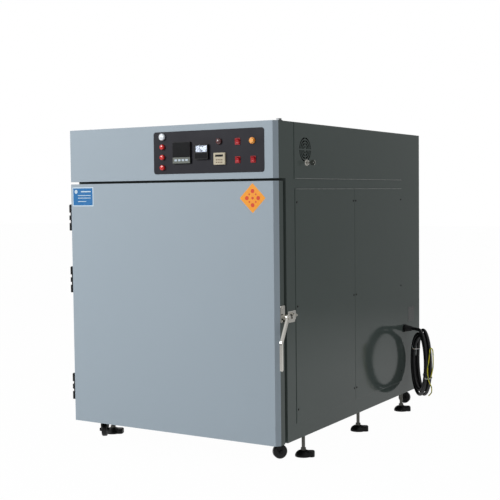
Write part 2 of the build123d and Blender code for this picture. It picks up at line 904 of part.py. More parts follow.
# Rocker switches and the push button: their frames share one node
switch_inner_width = body_width - 2 * switch_wall
switch_inner_height = body_height - 2 * switch_wall
button_x, button_z = on_plate(button_spot)
button_bore = button_radius + button_play
rocker_y = front_y - plate_sheet - switch_rise + rocker_depth
with BuildPart() as switch_bezels:
    with BuildSketch(plate_front):
        for spot in switch_spots:
            with Locations(on_plate(spot)):
                RectangleRounded(switch_width, switch_height, switch_rim)
    extrude(amount=switch_rise)
    with BuildSketch(plate_front):
        for spot in switch_spots:
            with Locations(on_plate(spot)):
                Rectangle(body_width, body_height)
        with Locations((button_x, button_z)):
            Circle(stem_radius)
    extrude(amount=-stem_length)
    with BuildSketch(plate_front.offset(switch_rise)):
        for spot in switch_spots:
            with Locations(on_plate(spot)):
                Rectangle(switch_inner_width, switch_inner_height)
    extrude(amount=-switch_rise - switch_well, mode=Mode.SUBTRACT)
    with BuildSketch(plate_front):
        with Locations((button_x, button_z)):
            Circle(button_ring)
    extrude(amount=button_ring_height)
    fillet(switch_bezels.faces().sort_by(Axis.Y)[0].edges(), button_ring_height / 4)
    with BuildSketch(plate_front):
        with Locations((button_x, button_z)):
            Circle(button_bore)
    extrude(amount=button_ring_height, mode=Mode.SUBTRACT)
    with BuildSketch(plate_front):
        with Locations((button_x, button_z)):
            Circle(stem_radius - switch_rim)
    extrude(amount=-switch_well - button_travel, mode=Mode.SUBTRACT)
    for spot in switch_spots:
        x, z = on_plate(spot)
        with BuildSketch(Plane((x - body_width / 2, rocker_y, z), x_dir=(0, -1, 0), z_dir=(1, 0, 0))):
            Circle(rocker_pin + pin_play)
        extrude(amount=body_width, mode=Mode.SUBTRACT)
built["switch_bezels"] = switch_bezels

rocker_half = switch_inner_height / 2 - rocker_play - rocker_depth * sin(radians(rocker_tilt))
rocker_width = switch_inner_width - 2 * rocker_play
rocker_crown = rocker_rise + rocker_depth
rocker_wing = rocker_crown + rocker_half * tan(radians(rocker_tilt))
rocker_facing = (0, -cos(radians(rocker_tilt)), -sin(radians(rocker_tilt)))  # lower half pressed in
pin_end = body_width / 2 - rocker_pin_gap
for number, spot in enumerate(switch_spots):
    x, z = on_plate(spot)
    with BuildPart() as rocker:
        with BuildSketch(Plane((x - rocker_width / 2, rocker_y, z), x_dir=rocker_facing, z_dir=(1, 0, 0))):
            with BuildLine():
                Polyline(
                    (-switch_rise, rocker_half),
                    (rocker_wing, rocker_half),
                    (rocker_crown, 0),
                    (rocker_wing, -rocker_half),
                    (-switch_rise, -rocker_half),
                    close=True,
                )
            make_face()
        extrude(amount=rocker_width)
        with BuildSketch(Plane((x - pin_end, rocker_y, z), x_dir=(0, -1, 0), z_dir=(1, 0, 0))):
            Circle(rocker_pin)
        extrude(amount=2 * pin_end)
    built[f"rocker_{number + 1}"] = rocker

with BuildPart() as push_button:
    with BuildSketch(plate_front.offset(button_travel + seal_gap)):
        with Locations((button_x, button_z)):
            Circle(button_radius)
    extrude(amount=button_rise)
    fillet(push_button.faces().sort_by(Axis.Y)[0].edges(), button_rise / 4)
    with BuildSketch(plate_front.offset(button_travel + seal_gap)):
        with Locations((button_x, button_z)):
            Circle(stem_radius - switch_rim - button_play)
    extrude(amount=-button_travel - switch_well)
built["push_button"] = push_button

# Lower panels of both sides, and the plain upper panel on the left
lower_top = header_z - lower_panel_drop
panel_y = post_y + sheet
panel_end = bay_y - panel_joint
split_y = panel_y + front_panel_length
panel_bands = [(panel_y, split_y - panel_joint / 2), (split_y + panel_joint / 2, panel_end)]
upper_floor = header_z - sheet
upper_end = top_z - sheet
with BuildPart() as right_lower_panels:
    for y_low, y_high in panel_bands:
        slab(side_x, side_x + panel_proud, y_low, y_high, base_top, lower_top)
    fillet(right_lower_panels.faces().sort_by(Axis.X)[-2:].edges(), panel_edge)
built["right_lower_panels"] = right_lower_panels

with BuildPart() as left_panels:
    for y_low, y_high in panel_bands:
        slab(-side_x - panel_proud, -side_x, y_low, y_high, base_top, lower_top)
    slab(-side_x - panel_proud, -side_x, panel_y - panel_lead, panel_end, upper_floor, upper_end)
    fillet(left_panels.faces().sort_by(Axis.X)[:3].edges(), panel_edge)
built["left_panels"] = left_panels

# Upper right panel, which lifts off: ringed vent slots and the hole of the cam lock
vent_y = post_y + vent_from_post
vent_z = top_z - vent_drop
lock_y = post_y + lock_from_post
lock_z = top_z - lock_drop
panel_face = right_plane.offset(panel_proud)
with BuildPart() as right_upper_panel:
    slab(side_x, side_x + panel_proud, panel_y - panel_lead, panel_end, upper_floor, upper_end)
    fillet(right_upper_panel.faces().sort_by(Axis.X)[-1].edges(), panel_edge)
    with BuildSketch(panel_face):
        with Locations((vent_y, vent_z)):
            with Locations((0, 0)):
                arc_slots(vent_rings, vent_first_ring, vent_ring_pitch, vent_slot, vent_bar / 2)
        with Locations((lock_y, lock_z)):
            Circle(lock_radius)
    extrude(amount=-panel_proud, mode=Mode.SUBTRACT)
built["right_upper_panel"] = right_upper_panel

# Cooling fan on the inside of the upper right panel
fan_back = right_plane.offset(-fan_depth)
with BuildPart() as cooling_fan_frame:
    with BuildSketch(right_plane):
        with Locations((vent_y, vent_z)):
            RectangleRounded(fan_size, fan_size, fan_corner)
            Circle(fan_bore, mode=Mode.SUBTRACT)
            with GridLocations(fan_screw_pitch, fan_screw_pitch, 2, 2):
                Circle(fan_screw_hole, mode=Mode.SUBTRACT)
    extrude(amount=-fan_depth)
    with BuildSketch(fan_back):
        with Locations((vent_y, vent_z)):
            Circle(fan_hub)
            Rectangle(fan_size - fan_corner, fan_strut)
            Rectangle(fan_strut, fan_size - fan_corner)
    extrude(amount=fan_strut)
    with BuildSketch(fan_back):
        with Locations((vent_y, vent_z)):
            Circle(fan_pin)
    extrude(amount=fan_depth / 2)
built["cooling_fan_frame"] = cooling_fan_frame

blade_tip = fan_bore - fan_play
blade_rise = fan_depth - fan_strut - 2 * fan_play
with BuildPart() as fan_rotor:
    with BuildSketch(fan_back.offset(fan_strut + fan_play / 2)):
        with Locations((vent_y, vent_z)):
            Circle(fan_hub)
    extrude(amount=blade_rise)
    for number in range(fan_blades):
        spoke = Plane((side_x - fan_play - blade_rise / 2, vent_y, vent_z), x_dir=(1, 0, 0), z_dir=(0, 0, 1))
        spoke = spoke.rotated((number * 360 / fan_blades, 0, 0))
        with BuildSketch(spoke.offset(fan_hub - fan_play)) as blade_root:
            with Locations(Location((0, 0, 0), (0, 0, blade_pitch - blade_twist))):
                Rectangle(blade_rise * 0.75, blade_thick)
        with BuildSketch(spoke.offset(blade_tip - fan_play)) as blade_end:
            with Locations(Location((0, 0, 0), (0, 0, blade_pitch))):
                Rectangle(blade_rise, blade_thick)
        loft(sections=[blade_root.sketch, blade_end.sketch])
    with BuildSketch(fan_back):
        with Locations((vent_y, vent_z)):
            Circle(fan_pin + pin_play)
    extrude(amount=fan_depth / 2 + fan_play, mode=Mode.SUBTRACT)
built["fan_rotor"] = fan_rotor

# Cam lock in the panel, and its plug with the key and the cam
with BuildPart() as cam_lock:
    with BuildSketch(panel_face):
        with Locations((lock_y, lock_z)):
            Circle(lock_flange)
    extrude(amount=lock_rim, taper=15)
    with BuildSketch(panel_face.offset(lock_nose)):
        with Locations((lock_y, lock_z)):
            Circle(lock_radius)
    extrude(amount=-lock_nose - panel_proud - lock_grip)
    fillet(cam_lock.faces().sort_by(Axis.X)[-1].edges(), lock_rim / 2)
    with BuildSketch(panel_face.offset(lock_nose)):
        with Locations((lock_y, lock_z)):
            Circle(plug_radius)
    extrude(amount=-lock_nose - panel_proud - lock_grip, mode=Mode.SUBTRACT)
built["cam_lock"] = cam_lock

key_plane = Plane((side_x + panel_proud + lock_nose, lock_y, lock_z), x_dir=(1, 0, 0), z_dir=(0, -1, 0))
cam_plane = right_plane.offset(-lock_grip - seal_gap)
with BuildPart() as lock_key:
    with BuildSketch(panel_face.offset(lock_nose)):
        with Locations((lock_y, lock_z)):
            Circle(plug_radius - shaft_play)
    extrude(amount=-lock_nose - panel_proud - lock_grip - seal_gap - cam_sheet)
    with BuildSketch(cam_plane):
        with Locations((lock_y, lock_z)):
            Circle(lock_radius)
        with Locations((lock_y, lock_z - cam_length / 2)):
            RectangleRounded(cam_width, cam_length, cam_width / 3)
    extrude(amount=-cam_sheet)
    with BuildSketch(key_plane):
        with Locations((key_length / 3, 0)):
            Rectangle(2 * key_length / 3, key_blade)
        with Locations((key_length, 0)):
            Circle(key_bow)
        with Locations((key_length + key_bow / 2, 0)):
            Circle(key_hole, mode=Mode.SUBTRACT)
    extrude(amount=key_sheet / 2, both=True)
built["lock_key"] = lock_key

# Hinges on the left side: frame leaves with end knuckles and pins, door leaves with middle ones
axis_x = -side_x - hinge_out
axis_y = front_y + hinge_back
leaf_y = landing_y + frame_leaf_start
hinge_levels = [base_z + hinge_low, base_z + hinge_share * door_height, door_top - hinge_drop]
end_z = hinge_height / 2
with BuildPart() as hinge_frame_leaves:
    for level in hinge_levels:
        slab(-side_x - leaf_sheet, -side_x, leaf_y, leaf_y + frame_leaf_length, level - end_z, level + end_z)
        for low in (level - end_z, level + end_z - end_knuckle):
            with BuildSketch(Plane.XY.offset(low)):
                with Locations((axis_x, axis_y)):
                    Circle(knuckle_radius)
                with Locations((-side_x - leaf_sheet / 2, leaf_y + leaf_sheet / 2)):
                    Rectangle(leaf_sheet, leaf_sheet)
                make_hull()
            extrude(amount=end_knuckle)
        with BuildSketch(Plane.XY.offset(level - end_z)):
            with Locations((axis_x, axis_y)):
                Circle(pin_radius)
        extrude(amount=hinge_height)
        with BuildSketch(Plane.XY.offset(level + end_z)):
            with Locations((axis_x, axis_y)):
                Circle(knuckle_radius - pin_head_step)
        extrude(amount=pin_head, taper=20)
built["hinge_frame_leaves"] = hinge_frame_leaves

with BuildPart() as hinge_door_leaves:
    for level in hinge_levels:
        with BuildSketch(Plane.XY.offset(level - mid_knuckle / 2)):
            with Locations((axis_x, axis_y)):
                Circle(knuckle_radius)
            with Locations((-frame_x - leaf_sheet / 2, axis_y)):
                Rectangle(leaf_sheet, knuckle_radius)
            make_hull()
        extrude(amount=mid_knuckle)
        slab(
            -frame_x - leaf_sheet,
            -frame_x,
            frame_back - door_leaf_length,
            frame_back,
            level - door_leaf_height / 2,
            level + door_leaf_height / 2,
        )
    with BuildSketch(Plane.XY.offset(base_z)):
        with Locations((axis_x, axis_y)):
            Circle(pin_radius + pin_play)
    extrude(amount=cabinet_height, mode=Mode.SUBTRACT)
built["hinge_door_leaves"] = hinge_door_leaves

# Latch: plate on the door's right edge, with a post and pin for the lever
latch_z = base_z + latch_share * door_height
lever_y = front_y + lever_axis_back
lever_z = latch_z - lever_axis_drop
door_side = Plane.YZ.offset(frame_x)
plate_mid_y = frame_back - latch_plate_depth / 2 - door_inset
post_reach = side_x - frame_x + lever_out - hook_play
pin_reach = side_x - frame_x + lever_out + lever_sheet + hook_play
with BuildPart() as latch_base:
    with BuildSketch(door_side):
        with Locations((plate_mid_y, latch_z)):
            RectangleRounded(latch_plate_depth, latch_plate_height, leaf_sheet)
    extrude(amount=latch_plate)
    chamfer(latch_base.faces().sort_by(Axis.X)[-1].edges(), latch_plate / 5)
    with BuildSketch(door_side):
        with Locations((lever_y, lever_z)):
            Circle(lever_post)
    extrude(amount=post_reach)
    with BuildSketch(door_side):
        with Locations((lever_y, lever_z)):
            Circle(lever_pin)
    extrude(amount=pin_reach)
    with BuildSketch(door_side.offset(pin_reach)):
        with Locations((lever_y, lever_z)):
            RegularPolygon(lever_post, 6)
    extrude(amount=lever_nut)
    with BuildSketch(door_side.offset(latch_plate)):
        with Locations((plate_mid_y, latch_z)):
            with Locations((-bolt_aside, bolt_pitch / 2), (-bolt_aside, -bolt_pitch / 2)):
                Circle(bolt_head)
    extrude(amount=bolt_rise, taper=15)
built["latch_base"] = latch_base

# Lever: boss, hook that passes under the keeper's roller and rises behind it, and the long bent bar
lever_plane = right_plane.offset(lever_out)
roller_y = lever_y + roller_back
hook_y = roller_y + roller_radius + hook_play
bend_y = lever_y - lever_bend_fore
bend_z = lever_z - lever_bend_drop
arm_top = lever_z - roller_radius - hook_play
with BuildPart() as latch_lever:
    with BuildSketch(lever_plane):
        with BuildLine():
            FilletPolyline(
                (lever_y, lever_z),
                (bend_y, bend_z),
                (bend_y, bend_z - lever_grip),
                radius=lever_bend_radius,
            )
        trace(line_width=lever_bar)
        with Locations((bend_y, bend_z - lever_grip)):
            Circle(lever_bar / 2)
        with Locations((lever_y, lever_z)):
            Circle(lever_boss)
        with BuildLine():
            Polyline(
                (lever_y, lever_z),
                (lever_y, arm_top - hook_bar),
                (hook_y + hook_width, arm_top - hook_bar),
                (hook_y + hook_width, lever_z + hook_rise),
                (hook_y, lever_z + hook_rise),
                (hook_y, arm_top),
                (lever_y + lever_boss, arm_top),
                close=True,
            )
        make_face()
        with Locations((lever_y, lever_z)):
            Circle(lever_pin + pin_play, mode=Mode.SUBTRACT)
    extrude(amount=lever_sheet)
    chamfer(latch_lever.faces().sort_by(Axis.X)[-1].outer_wire().edges(), lever_edge)
built["latch_lever"] = latch_lever

# Keeper on the cabinet's side, with the roller that the hook draws on
keeper_y = landing_y + keeper_start + keeper_length / 2
with BuildPart() as latch_keeper:
    with BuildSketch(right_plane):
        with Locations((keeper_y, lever_z)):
            RectangleRounded(keeper_length, keeper_height, keeper_sheet)
    extrude(amount=keeper_sheet)
    chamfer(latch_keeper.faces().sort_by(Axis.X)[-1].edges(), keeper_sheet / 4)
    with BuildSketch(right_plane):
        with Locations((roller_y, lever_z)):
            Circle(roller_radius)
    extrude(amount=lever_out + lever_sheet + roller_end)
    fillet(latch_keeper.faces().sort_by(Axis.X)[-1].edges(), roller_end / 2)
    for height, rise in ((nut_rise, nut_radius), (nut_rise + bolt_end, bolt_head)):
        with BuildSketch(right_plane.offset(keeper_sheet)):
            with Locations((keeper_y, lever_z)):
                with Locations((0, keeper_bolt_step), (keeper_bolt_pitch, 0)):
                    RegularPolygon(rise, 6)
        extrude(amount=height)
built["latch_keeper"] = latch_keeper

# Casters: four mounting plates with kingpins, and a fork and a wheel for each
caster_x = side_x - caster_inset
caster_places = {
    "front_left": (-caster_x, landing_y + caster_front),
    "front_right": (caster_x, landing_y + caster_front),
    "rear_right": (caster_x, rear_y - caster_rear),
    "rear_left": (-caster_x, rear_y - caster_rear),
}
crown_z = base_z - caster_plate - race_height - seal_gap
axle_z = caster_clear + wheel_radius
with BuildPart() as caster_plates:
    with BuildSketch(Plane.XY.offset(base_z)):
        with Locations(*caster_places.values()):
            RectangleRounded(caster_plate_width, caster_plate_length, 2 * caster_plate)
    extrude(amount=-caster_plate)
    with BuildSketch(Plane.XY.offset(base_z - caster_plate)):
        with Locations(*caster_places.values()):
            Circle(race_radius)
    extrude(amount=-race_height, taper=12)
    with BuildSketch(Plane.XY.offset(base_z - caster_plate)):
        with Locations(*caster_places.values()):
            Circle(kingpin)
    extrude(amount=-race_height - crown_sheet - kingpin_end)
built["caster_plates"] = caster_plates

crown_width = fork_gap + 2 * fork_sheet
for (name, place), turn in zip(caster_places.items(), caster_turns):
    ahead = (cos(radians(turn)), sin(radians(turn)), 0)
    crown = Plane((place[0], place[1], crown_z), x_dir=ahead, z_dir=(0, 0, 1))
    upright = Plane((place[0], place[1], axle_z), x_dir=ahead, z_dir=-crown.y_dir)
    with BuildPart() as fork:
        with BuildSketch(crown):
            Circle(race_radius)
            with Locations((crown_lead, 0)):
                Rectangle(crown_length, crown_width)
            Circle(kingpin + pin_play, mode=Mode.SUBTRACT)
        extrude(amount=-crown_sheet)
        for start in (fork_gap / 2, -fork_gap / 2 - fork_sheet):
            with BuildSketch(upright.offset(start)):
                with Locations((caster_trail, 0)):
                    Circle(hub_radius)
                with Locations((crown_lead, crown_z - axle_z - crown_sheet / 2)):
                    Rectangle(crown_length, crown_sheet)
                make_hull()
            extrude(amount=fork_sheet)
        with BuildSketch(upright.offset(-crown_width / 2 - nut_height)):
            with Locations((caster_trail, 0)):
                Circle(axle_radius)
        extrude(amount=crown_width + 2 * nut_height)
        for start in (crown_width / 2, -crown_width / 2 - nut_height):
            with BuildSketch(upright.offset(start)):
                with Locations((caster_trail, 0)):
                    RegularPolygon(nut_radius, 6)
            extrude(amount=nut_height)
    built[f"caster_fork_{name}"] = fork
    with BuildPart() as wheel:
        with BuildSketch(upright):
            with Locations((caster_trail, 0)):
                Circle(wheel_radius)
        extrude(amount=wheel_width / 2, both=True)
        fillet(wheel.edges().filter_by(GeomType.CIRCLE), wheel_width / 4)
        with BuildSketch(upright):
            with Locations((caster_trail, 0)):
                Circle(hub_radius)
        extrude(amount=fork_gap / 2 - seal_gap, both=True)
        with BuildSketch(upright):
            with Locations((caster_trail, 0)):
                Circle(axle_radius + pin_play)
        extrude(amount=fork_gap, both=True, mode=Mode.SUBTRACT)
    built[f"caster_wheel_{name}"] = wheel

# Levelling feet: threaded studs with lock nuts and collars, and their pads
with BuildPart() as foot_studs:
    with BuildSketch(Plane.XY.offset(foot_pad_height - foot_socket)):
        with Locations(*foot_points):
            Circle(foot_stud_radius)
    extrude(amount=base_z + foot_thread - foot_pad_height + foot_socket)
    with BuildSketch(Plane.XY.offset(base_z - foot_nut_height)):
        with Locations(*foot_points):
            RegularPolygon(foot_nut_radius, 6)
    extrude(amount=foot_nut_height)
    with BuildSketch(Plane.XY.offset(foot_pad_height)):
        with Locations(*foot_points):
            RegularPolygon(foot_collar_radius, 6)
    extrude(amount=foot_collar_height)
built["foot_studs"] = foot_studs

with BuildPart() as foot_pads:
    for x, y in foot_points:
        with BuildSketch(Plane.XY.shift_origin((x, y, 0)).rotated((0, 0, foot_lug_turn))):
            with Locations((foot_lug_reach / 2, 0)):
                RectangleRounded(foot_lug_reach, foot_lug_width, foot_lug_width / 4)
        extrude(amount=foot_lug_height)
    fillet(foot_pads.faces().filter_by(Axis.Z).group_by(Axis.Z)[-1].edges(), foot_lug_height / 4)
    for x, y in foot_points:
        with BuildSketch(Plane((x, y, 0), x_dir=(1, 0, 0), z_dir=(0, -1, 0))):
            with BuildLine():
                Polyline(
                    (foot_collar_radius, foot_pad_height),
                    (0, foot_pad_height),
                    (0, 0),
                    (foot_pad_radius, 0),
                    (foot_pad_radius, foot_pad_rim),
                )
                ThreePointArc(
                    (foot_pad_radius, foot_pad_rim),
                    (0.8 * foot_pad_radius, 0.7 * foot_pad_height),
                    (foot_collar_radius, foot_pad_height),
                )
            make_face()
        revolve(axis=Axis((x, y, 0), (0, 0, 1)))
    with BuildSketch(Plane.XY.offset(foot_pad_height)):
        with Locations(*foot_points):
            Circle(foot_stud_radius)
    extrude(amount=-foot_socket, mode=Mode.SUBTRACT)
built["foot_pads"] = foot_pads

# Cable gland on the rear cover
gland_y = rear_y - gland_ahead
gland_z = base_z + gland_height
gland_plane = Plane((side_x, gland_y, gland_z), x_dir=(0, 1, 0), z_dir=(1, 0, 0))
with BuildPart() as cable_gland:
    with BuildSketch(gland_plane):
        RegularPolygon(gland_nut, 6)
    extrude(amount=gland_length / 4)
    with BuildSketch(gland_plane):
        Circle(gland_radius)
    extrude(amount=gland_length, taper=8)
    with BuildSketch(gland_plane):
        Circle(gland_thread)
    extrude(amount=-gland_length / 3)
    with BuildSketch(gland_plane.offset(gland_length - gland_bore)):
        Circle(cable_radius)
    extrude(amount=gland_bore, mode=Mode.SUBTRACT)
built["cable_gland"] = cable_gland

# Mains cable: a short run from the gland, then an upright oval coil beside the rear corner
along = (cos(radians(coil_angle)), sin(radians(coil_angle)), 0)
coil_plane = Plane(
    (side_x + coil_out, rear_y - coil_ahead, base_z + coil_height),
    x_dir=along,
    z_dir=(along[1], -along[0], 0),
)
with BuildPart() as cable_coil:
    with BuildSketch(coil_plane):
        Ellipse(coil_half_width, coil_half_height)
        Ellipse(coil_half_width - coil_band, coil_half_height - coil_band, mode=Mode.SUBTRACT)
    extrude(amount=coil_depth / 2, both=True)
    fillet(cable_coil.edges(), coil_edge)
built["cable_coil"] = cable_coil


def in_coil(along_it, up_it, out_of_it):
    """A point given in the coil's own plane."""
    return tuple(coil_plane.from_local_coords(Vector(along_it, up_it, out_of_it)))


def cord_tube(route, radius):
    """A tube of straight runs joined by tangent arcs, each from the shorter run beside it and its turn."""
    points = [Vector(*point) for point in route]
    radii = []
    for before, here, after in zip(points, points[1:], points[2:]):
        turn = radians((here - before).get_angle(after - here))
        shorter = min((here - before).length, (after - here).length)
        radii.append(0.45 * shorter / tan(turn / 2))
    print("bend radii", [round(value) for value in radii])
    with BuildPart() as tube:
        with BuildLine() as line:
            FilletPolyline(*route, radius=radii)
        with BuildSketch(Plane(points[0], z_dir=points[1] - points[0])):
            Circle(radius)
        sweep(path=line.wires()[0])
    length = line.wires()[0].length
    volume_ratio = tube.part.volume / (pi * radius**2 * length)
    print("tube length", round(length), "volume over section times length", round(volume_ratio, 4))
    return tube.part


gland_mouth = side_x + gland_length
power_route = [
    (gland_mouth - gland_bore, gland_y, gland_z),
    (gland_mouth + 16, gland_y, gland_z),
    in_coil(-12, 169, 4),
    in_coil(22, 158, 0),
]
power_tube = cord_tube(power_route, cable_radius)
with BuildPart() as power_cable:
    add(power_tube)
    add(cable_coil.part, mode=Mode.SUBTRACT)
built["power_cable"] = power_cable

earth_route = [
    in_coil(108, -62, -12),
    in_coil(123, -20, -18),
    in_coil(123, 26, -19),
    in_coil(118, 60, -20),
    in_coil(113, 78, -21),
    in_coil(110, 87, -17),
    in_coil(110, 87, -8),
    in_coil(113, 78, -4),
    in_coil(117, 60, -2),
    in_coil(123, 26, 5),
    in_coil(124, -14, 13),
    in_coil(119, -55, 10),
    in_coil(108, -90, -3),
    in_coil(97, -114, -19),
    in_coil(82, -138, -27),
    in_coil(64, -158, -30),
    in_coil(44, -172, -24),
]
earth_tube = cord_tube(earth_route, earth_radius)
with BuildPart() as earth_wire:
    add(earth_tube)
    add(cable_coil.part, mode=Mode.SUBTRACT)
built["earth_wire"] = earth_wire

# Ties round the coil
middle_width = coil_half_width - coil_band / 2
middle_height = coil_half_height - coil_band / 2
with BuildPart() as cable_ties:
    for angle in tie_angles:
        across = cos(radians(angle)) * middle_width
        up = sin(radians(angle)) * middle_height
        middle = Vector(*in_coil(across, up, 0))
        outward = (middle - coil_plane.origin).normalized()
        with BuildSketch(Plane(middle, x_dir=coil_plane.z_dir, z_dir=outward.cross(coil_plane.z_dir))):
            RectangleRounded(coil_depth + 2 * tie_sheet, coil_band + 2 * tie_sheet, coil_edge)
        extrude(amount=tie_width / 2, both=True)
    add(cable_coil.part, mode=Mode.SUBTRACT)
built["cable_ties"] = cable_ties

for name, piece in built.items():
    piece.part.label = name
    export_step(piece.part, f"parts/{name}.step")
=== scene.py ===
# Curing oven: looks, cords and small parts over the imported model. Metres, row frame.
import math

import bmesh
import bpy
from mathutils import Matrix, Vector


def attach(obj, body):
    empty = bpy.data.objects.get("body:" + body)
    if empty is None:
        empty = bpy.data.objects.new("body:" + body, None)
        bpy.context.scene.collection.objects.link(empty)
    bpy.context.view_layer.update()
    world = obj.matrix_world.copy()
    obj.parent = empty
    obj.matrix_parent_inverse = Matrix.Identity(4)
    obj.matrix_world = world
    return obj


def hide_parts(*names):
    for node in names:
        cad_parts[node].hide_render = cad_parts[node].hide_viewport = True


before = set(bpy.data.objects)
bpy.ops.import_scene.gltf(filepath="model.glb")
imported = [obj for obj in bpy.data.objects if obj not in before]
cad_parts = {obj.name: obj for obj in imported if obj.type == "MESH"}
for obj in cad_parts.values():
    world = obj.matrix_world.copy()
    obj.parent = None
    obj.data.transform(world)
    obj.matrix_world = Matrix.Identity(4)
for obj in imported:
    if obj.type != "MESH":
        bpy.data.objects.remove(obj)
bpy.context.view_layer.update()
scene = bpy.context.scene
print("stage: frame loaded")

# Places shared with the model's source
sideX = 0.569
frontY = -0.784
topZ = 1.492
plateX = 0.2245
plateZ = 1.3705
plateFront = -0.7855
right = Vector((1, 0, 0))
outFront = Vector((0, -1, 0))
upward = Vector((0, 0, 1))


# Camera at the photograph's place
def makeCamera(settings):
    yaw, pitch, roll = (math.radians(settings[name]) for name in ("yaw", "pitch", "roll"))
    forward = Vector((-math.sin(yaw) * math.cos(pitch), math.cos(yaw) * math.cos(pitch), math.sin(pitch)))
    level = Vector((math.cos(yaw), math.sin(yaw), 0))
    above = level.cross(forward)
    across = level * math.cos(roll) + above * math.sin(roll)
    up = above * math.cos(roll) - level * math.sin(roll)
    turn = Matrix((across, up, -forward)).transposed().to_4x4()
    data = bpy.data.cameras.new("viewCamera")
    data.sensor_width = 36
    data.lens = settings["focalPixels"] * 36 / 500
    data.clip_end = 200
    camera = bpy.data.objects.new("viewCamera", data)
    camera.matrix_world = Matrix.Translation(settings["place"]) @ turn
    scene.collection.objects.link(camera)
    scene.camera = camera


cameraSettings = {
    "place": (2.7246, -4.5482, 1.1834),
    "yaw": 31.3,
    "pitch": -3.08,
    "roll": -0.63,
    "focalPixels": 1035.7,
}
makeCamera(cameraSettings)
print("stage: camera")


# Colours are written as the 0 to 255 values of the photograph
def linear(red, green, blue):
    channels = []
    for value in (red, green, blue):
        share = value / 255
        channels.append(share / 12.92 if share <= 0.04045 else ((share + 0.055) / 1.055) ** 2.4)
    return (*channels, 1.0)


def makeGroup(name, inputs, outputs):
    group = bpy.data.node_groups.new(name, "ShaderNodeTree")
    for label, kind, value in inputs:
        socket = group.interface.new_socket(name=label, in_out="INPUT", socket_type=kind)
        socket.default_value = value
    for label, kind in outputs:
        group.interface.new_socket(name=label, in_out="OUTPUT", socket_type=kind)
    start = group.nodes.new("NodeGroupInput")
    end = group.nodes.new("NodeGroupOutput")
    return group, start, end


def mottleGroup():
    # Colour that drifts a little lighter and darker over the surface.
    inputs = [
        ("Color", "NodeSocketColor", (0.5, 0.5, 0.5, 1)),
        ("Scale", "NodeSocketFloat", 6.0),
        ("Amount", "NodeSocketFloat", 0.05),
    ]
    group, start, end = makeGroup("mottle", inputs, [("Color", "NodeSocketColor")])
    where = group.nodes.new("ShaderNodeTexCoord")
    noise = group.nodes.new("ShaderNodeTexNoise")
    noise.inputs["Detail"].default_value = 6.0
    centre = group.nodes.new("ShaderNodeMath")
    centre.operation = "SUBTRACT"
    centre.inputs[1].default_value = 0.5
    share = group.nodes.new("ShaderNodeMath")
    share.operation = "MULTIPLY"
    level = group.nodes.new("ShaderNodeMath")
    level.operation = "ADD"
    level.inputs[1].default_value = 1.0
    tint = group.nodes.new("ShaderNodeVectorMath")
    tint.operation = "SCALE"
    link = group.links.new
    link(where.outputs["Object"], noise.inputs["Vector"])
    link(start.outputs["Scale"], noise.inputs["Scale"])
    link(noise.outputs["Fac"], centre.inputs[0])
    link(centre.outputs[0], share.inputs[0])
    link(start.outputs["Amount"], share.inputs[1])
    link(share.outputs[0], level.inputs[0])
    link(start.outputs["Color"], tint.inputs[0])
    link(level.outputs[0], tint.inputs["Scale"])
    link(tint.outputs[0], end.inputs["Color"])
    return group


def sheenGroup():
    # Roughness that varies between two levels, as handled or sprayed surfaces do.
    inputs = [
        ("Scale", "NodeSocketFloat", 12.0),
        ("Low", "NodeSocketFloat", 0.3),
        ("High", "NodeSocketFloat", 0.4),
    ]
    group, start, end = makeGroup("sheen", inputs, [("Roughness", "NodeSocketFloat")])
    where = group.nodes.new("ShaderNodeTexCoord")
    noise = group.nodes.new("ShaderNodeTexNoise")
    noise.inputs["Detail"].default_value = 4.0
    spread = group.nodes.new("ShaderNodeMapRange")
    link = group.links.new
    link(where.outputs["Object"], noise.inputs["Vector"])
    link(start.outputs["Scale"], noise.inputs["Scale"])
    link(noise.outputs["Fac"], spread.inputs["Value"])
    spread.inputs["From Min"].default_value = 0.3
    spread.inputs["From Max"].default_value = 0.7
    link(start.outputs["Low"], spread.inputs["To Min"])
    link(start.outputs["High"], spread.inputs["To Max"])
    link(spread.outputs["Result"], end.inputs["Roughness"])
    return group


def grainGroup():
    # Fine relief: stretched noise, from orange peel to brushed lines.
    inputs = [
        ("Scale", "NodeSocketFloat", 400.0),
        ("Strength", "NodeSocketFloat", 0.2),
        ("Depth", "NodeSocketFloat", 0.0002),
        ("Stretch", "NodeSocketVector", (1.0, 1.0, 1.0)),
    ]
    group, start, end = makeGroup("grain", inputs, [("Normal", "NodeSocketVector")])
    where = group.nodes.new("ShaderNodeTexCoord")
    pull = group.nodes.new("ShaderNodeVectorMath")
    pull.operation = "MULTIPLY"
    noise = group.nodes.new("ShaderNodeTexNoise")
    noise.inputs["Detail"].default_value = 3.0
    relief = group.nodes.new("ShaderNodeBump")
    link = group.links.new
    link(where.outputs["Object"], pull.inputs[0])
    link(start.outputs["Stretch"], pull.inputs[1])
    link(pull.outputs[0], noise.inputs["Vector"])
    link(start.outputs["Scale"], noise.inputs["Scale"])
    link(noise.outputs["Fac"], relief.inputs["Height"])
    link(start.outputs["Strength"], relief.inputs["Strength"])
    link(start.outputs["Depth"], relief.inputs["Distance"])
    link(relief.outputs["Normal"], end.inputs["Normal"])
    return group


groups = {"mottle": mottleGroup(), "sheen": sheenGroup(), "grain": grainGroup()}


def useGroup(material, name, values):
    node = material.node_tree.nodes.new("ShaderNodeGroup")
    node.node_tree = groups[name]
    for label, value in values.items():
        node.inputs[label].default_value = value
    return node


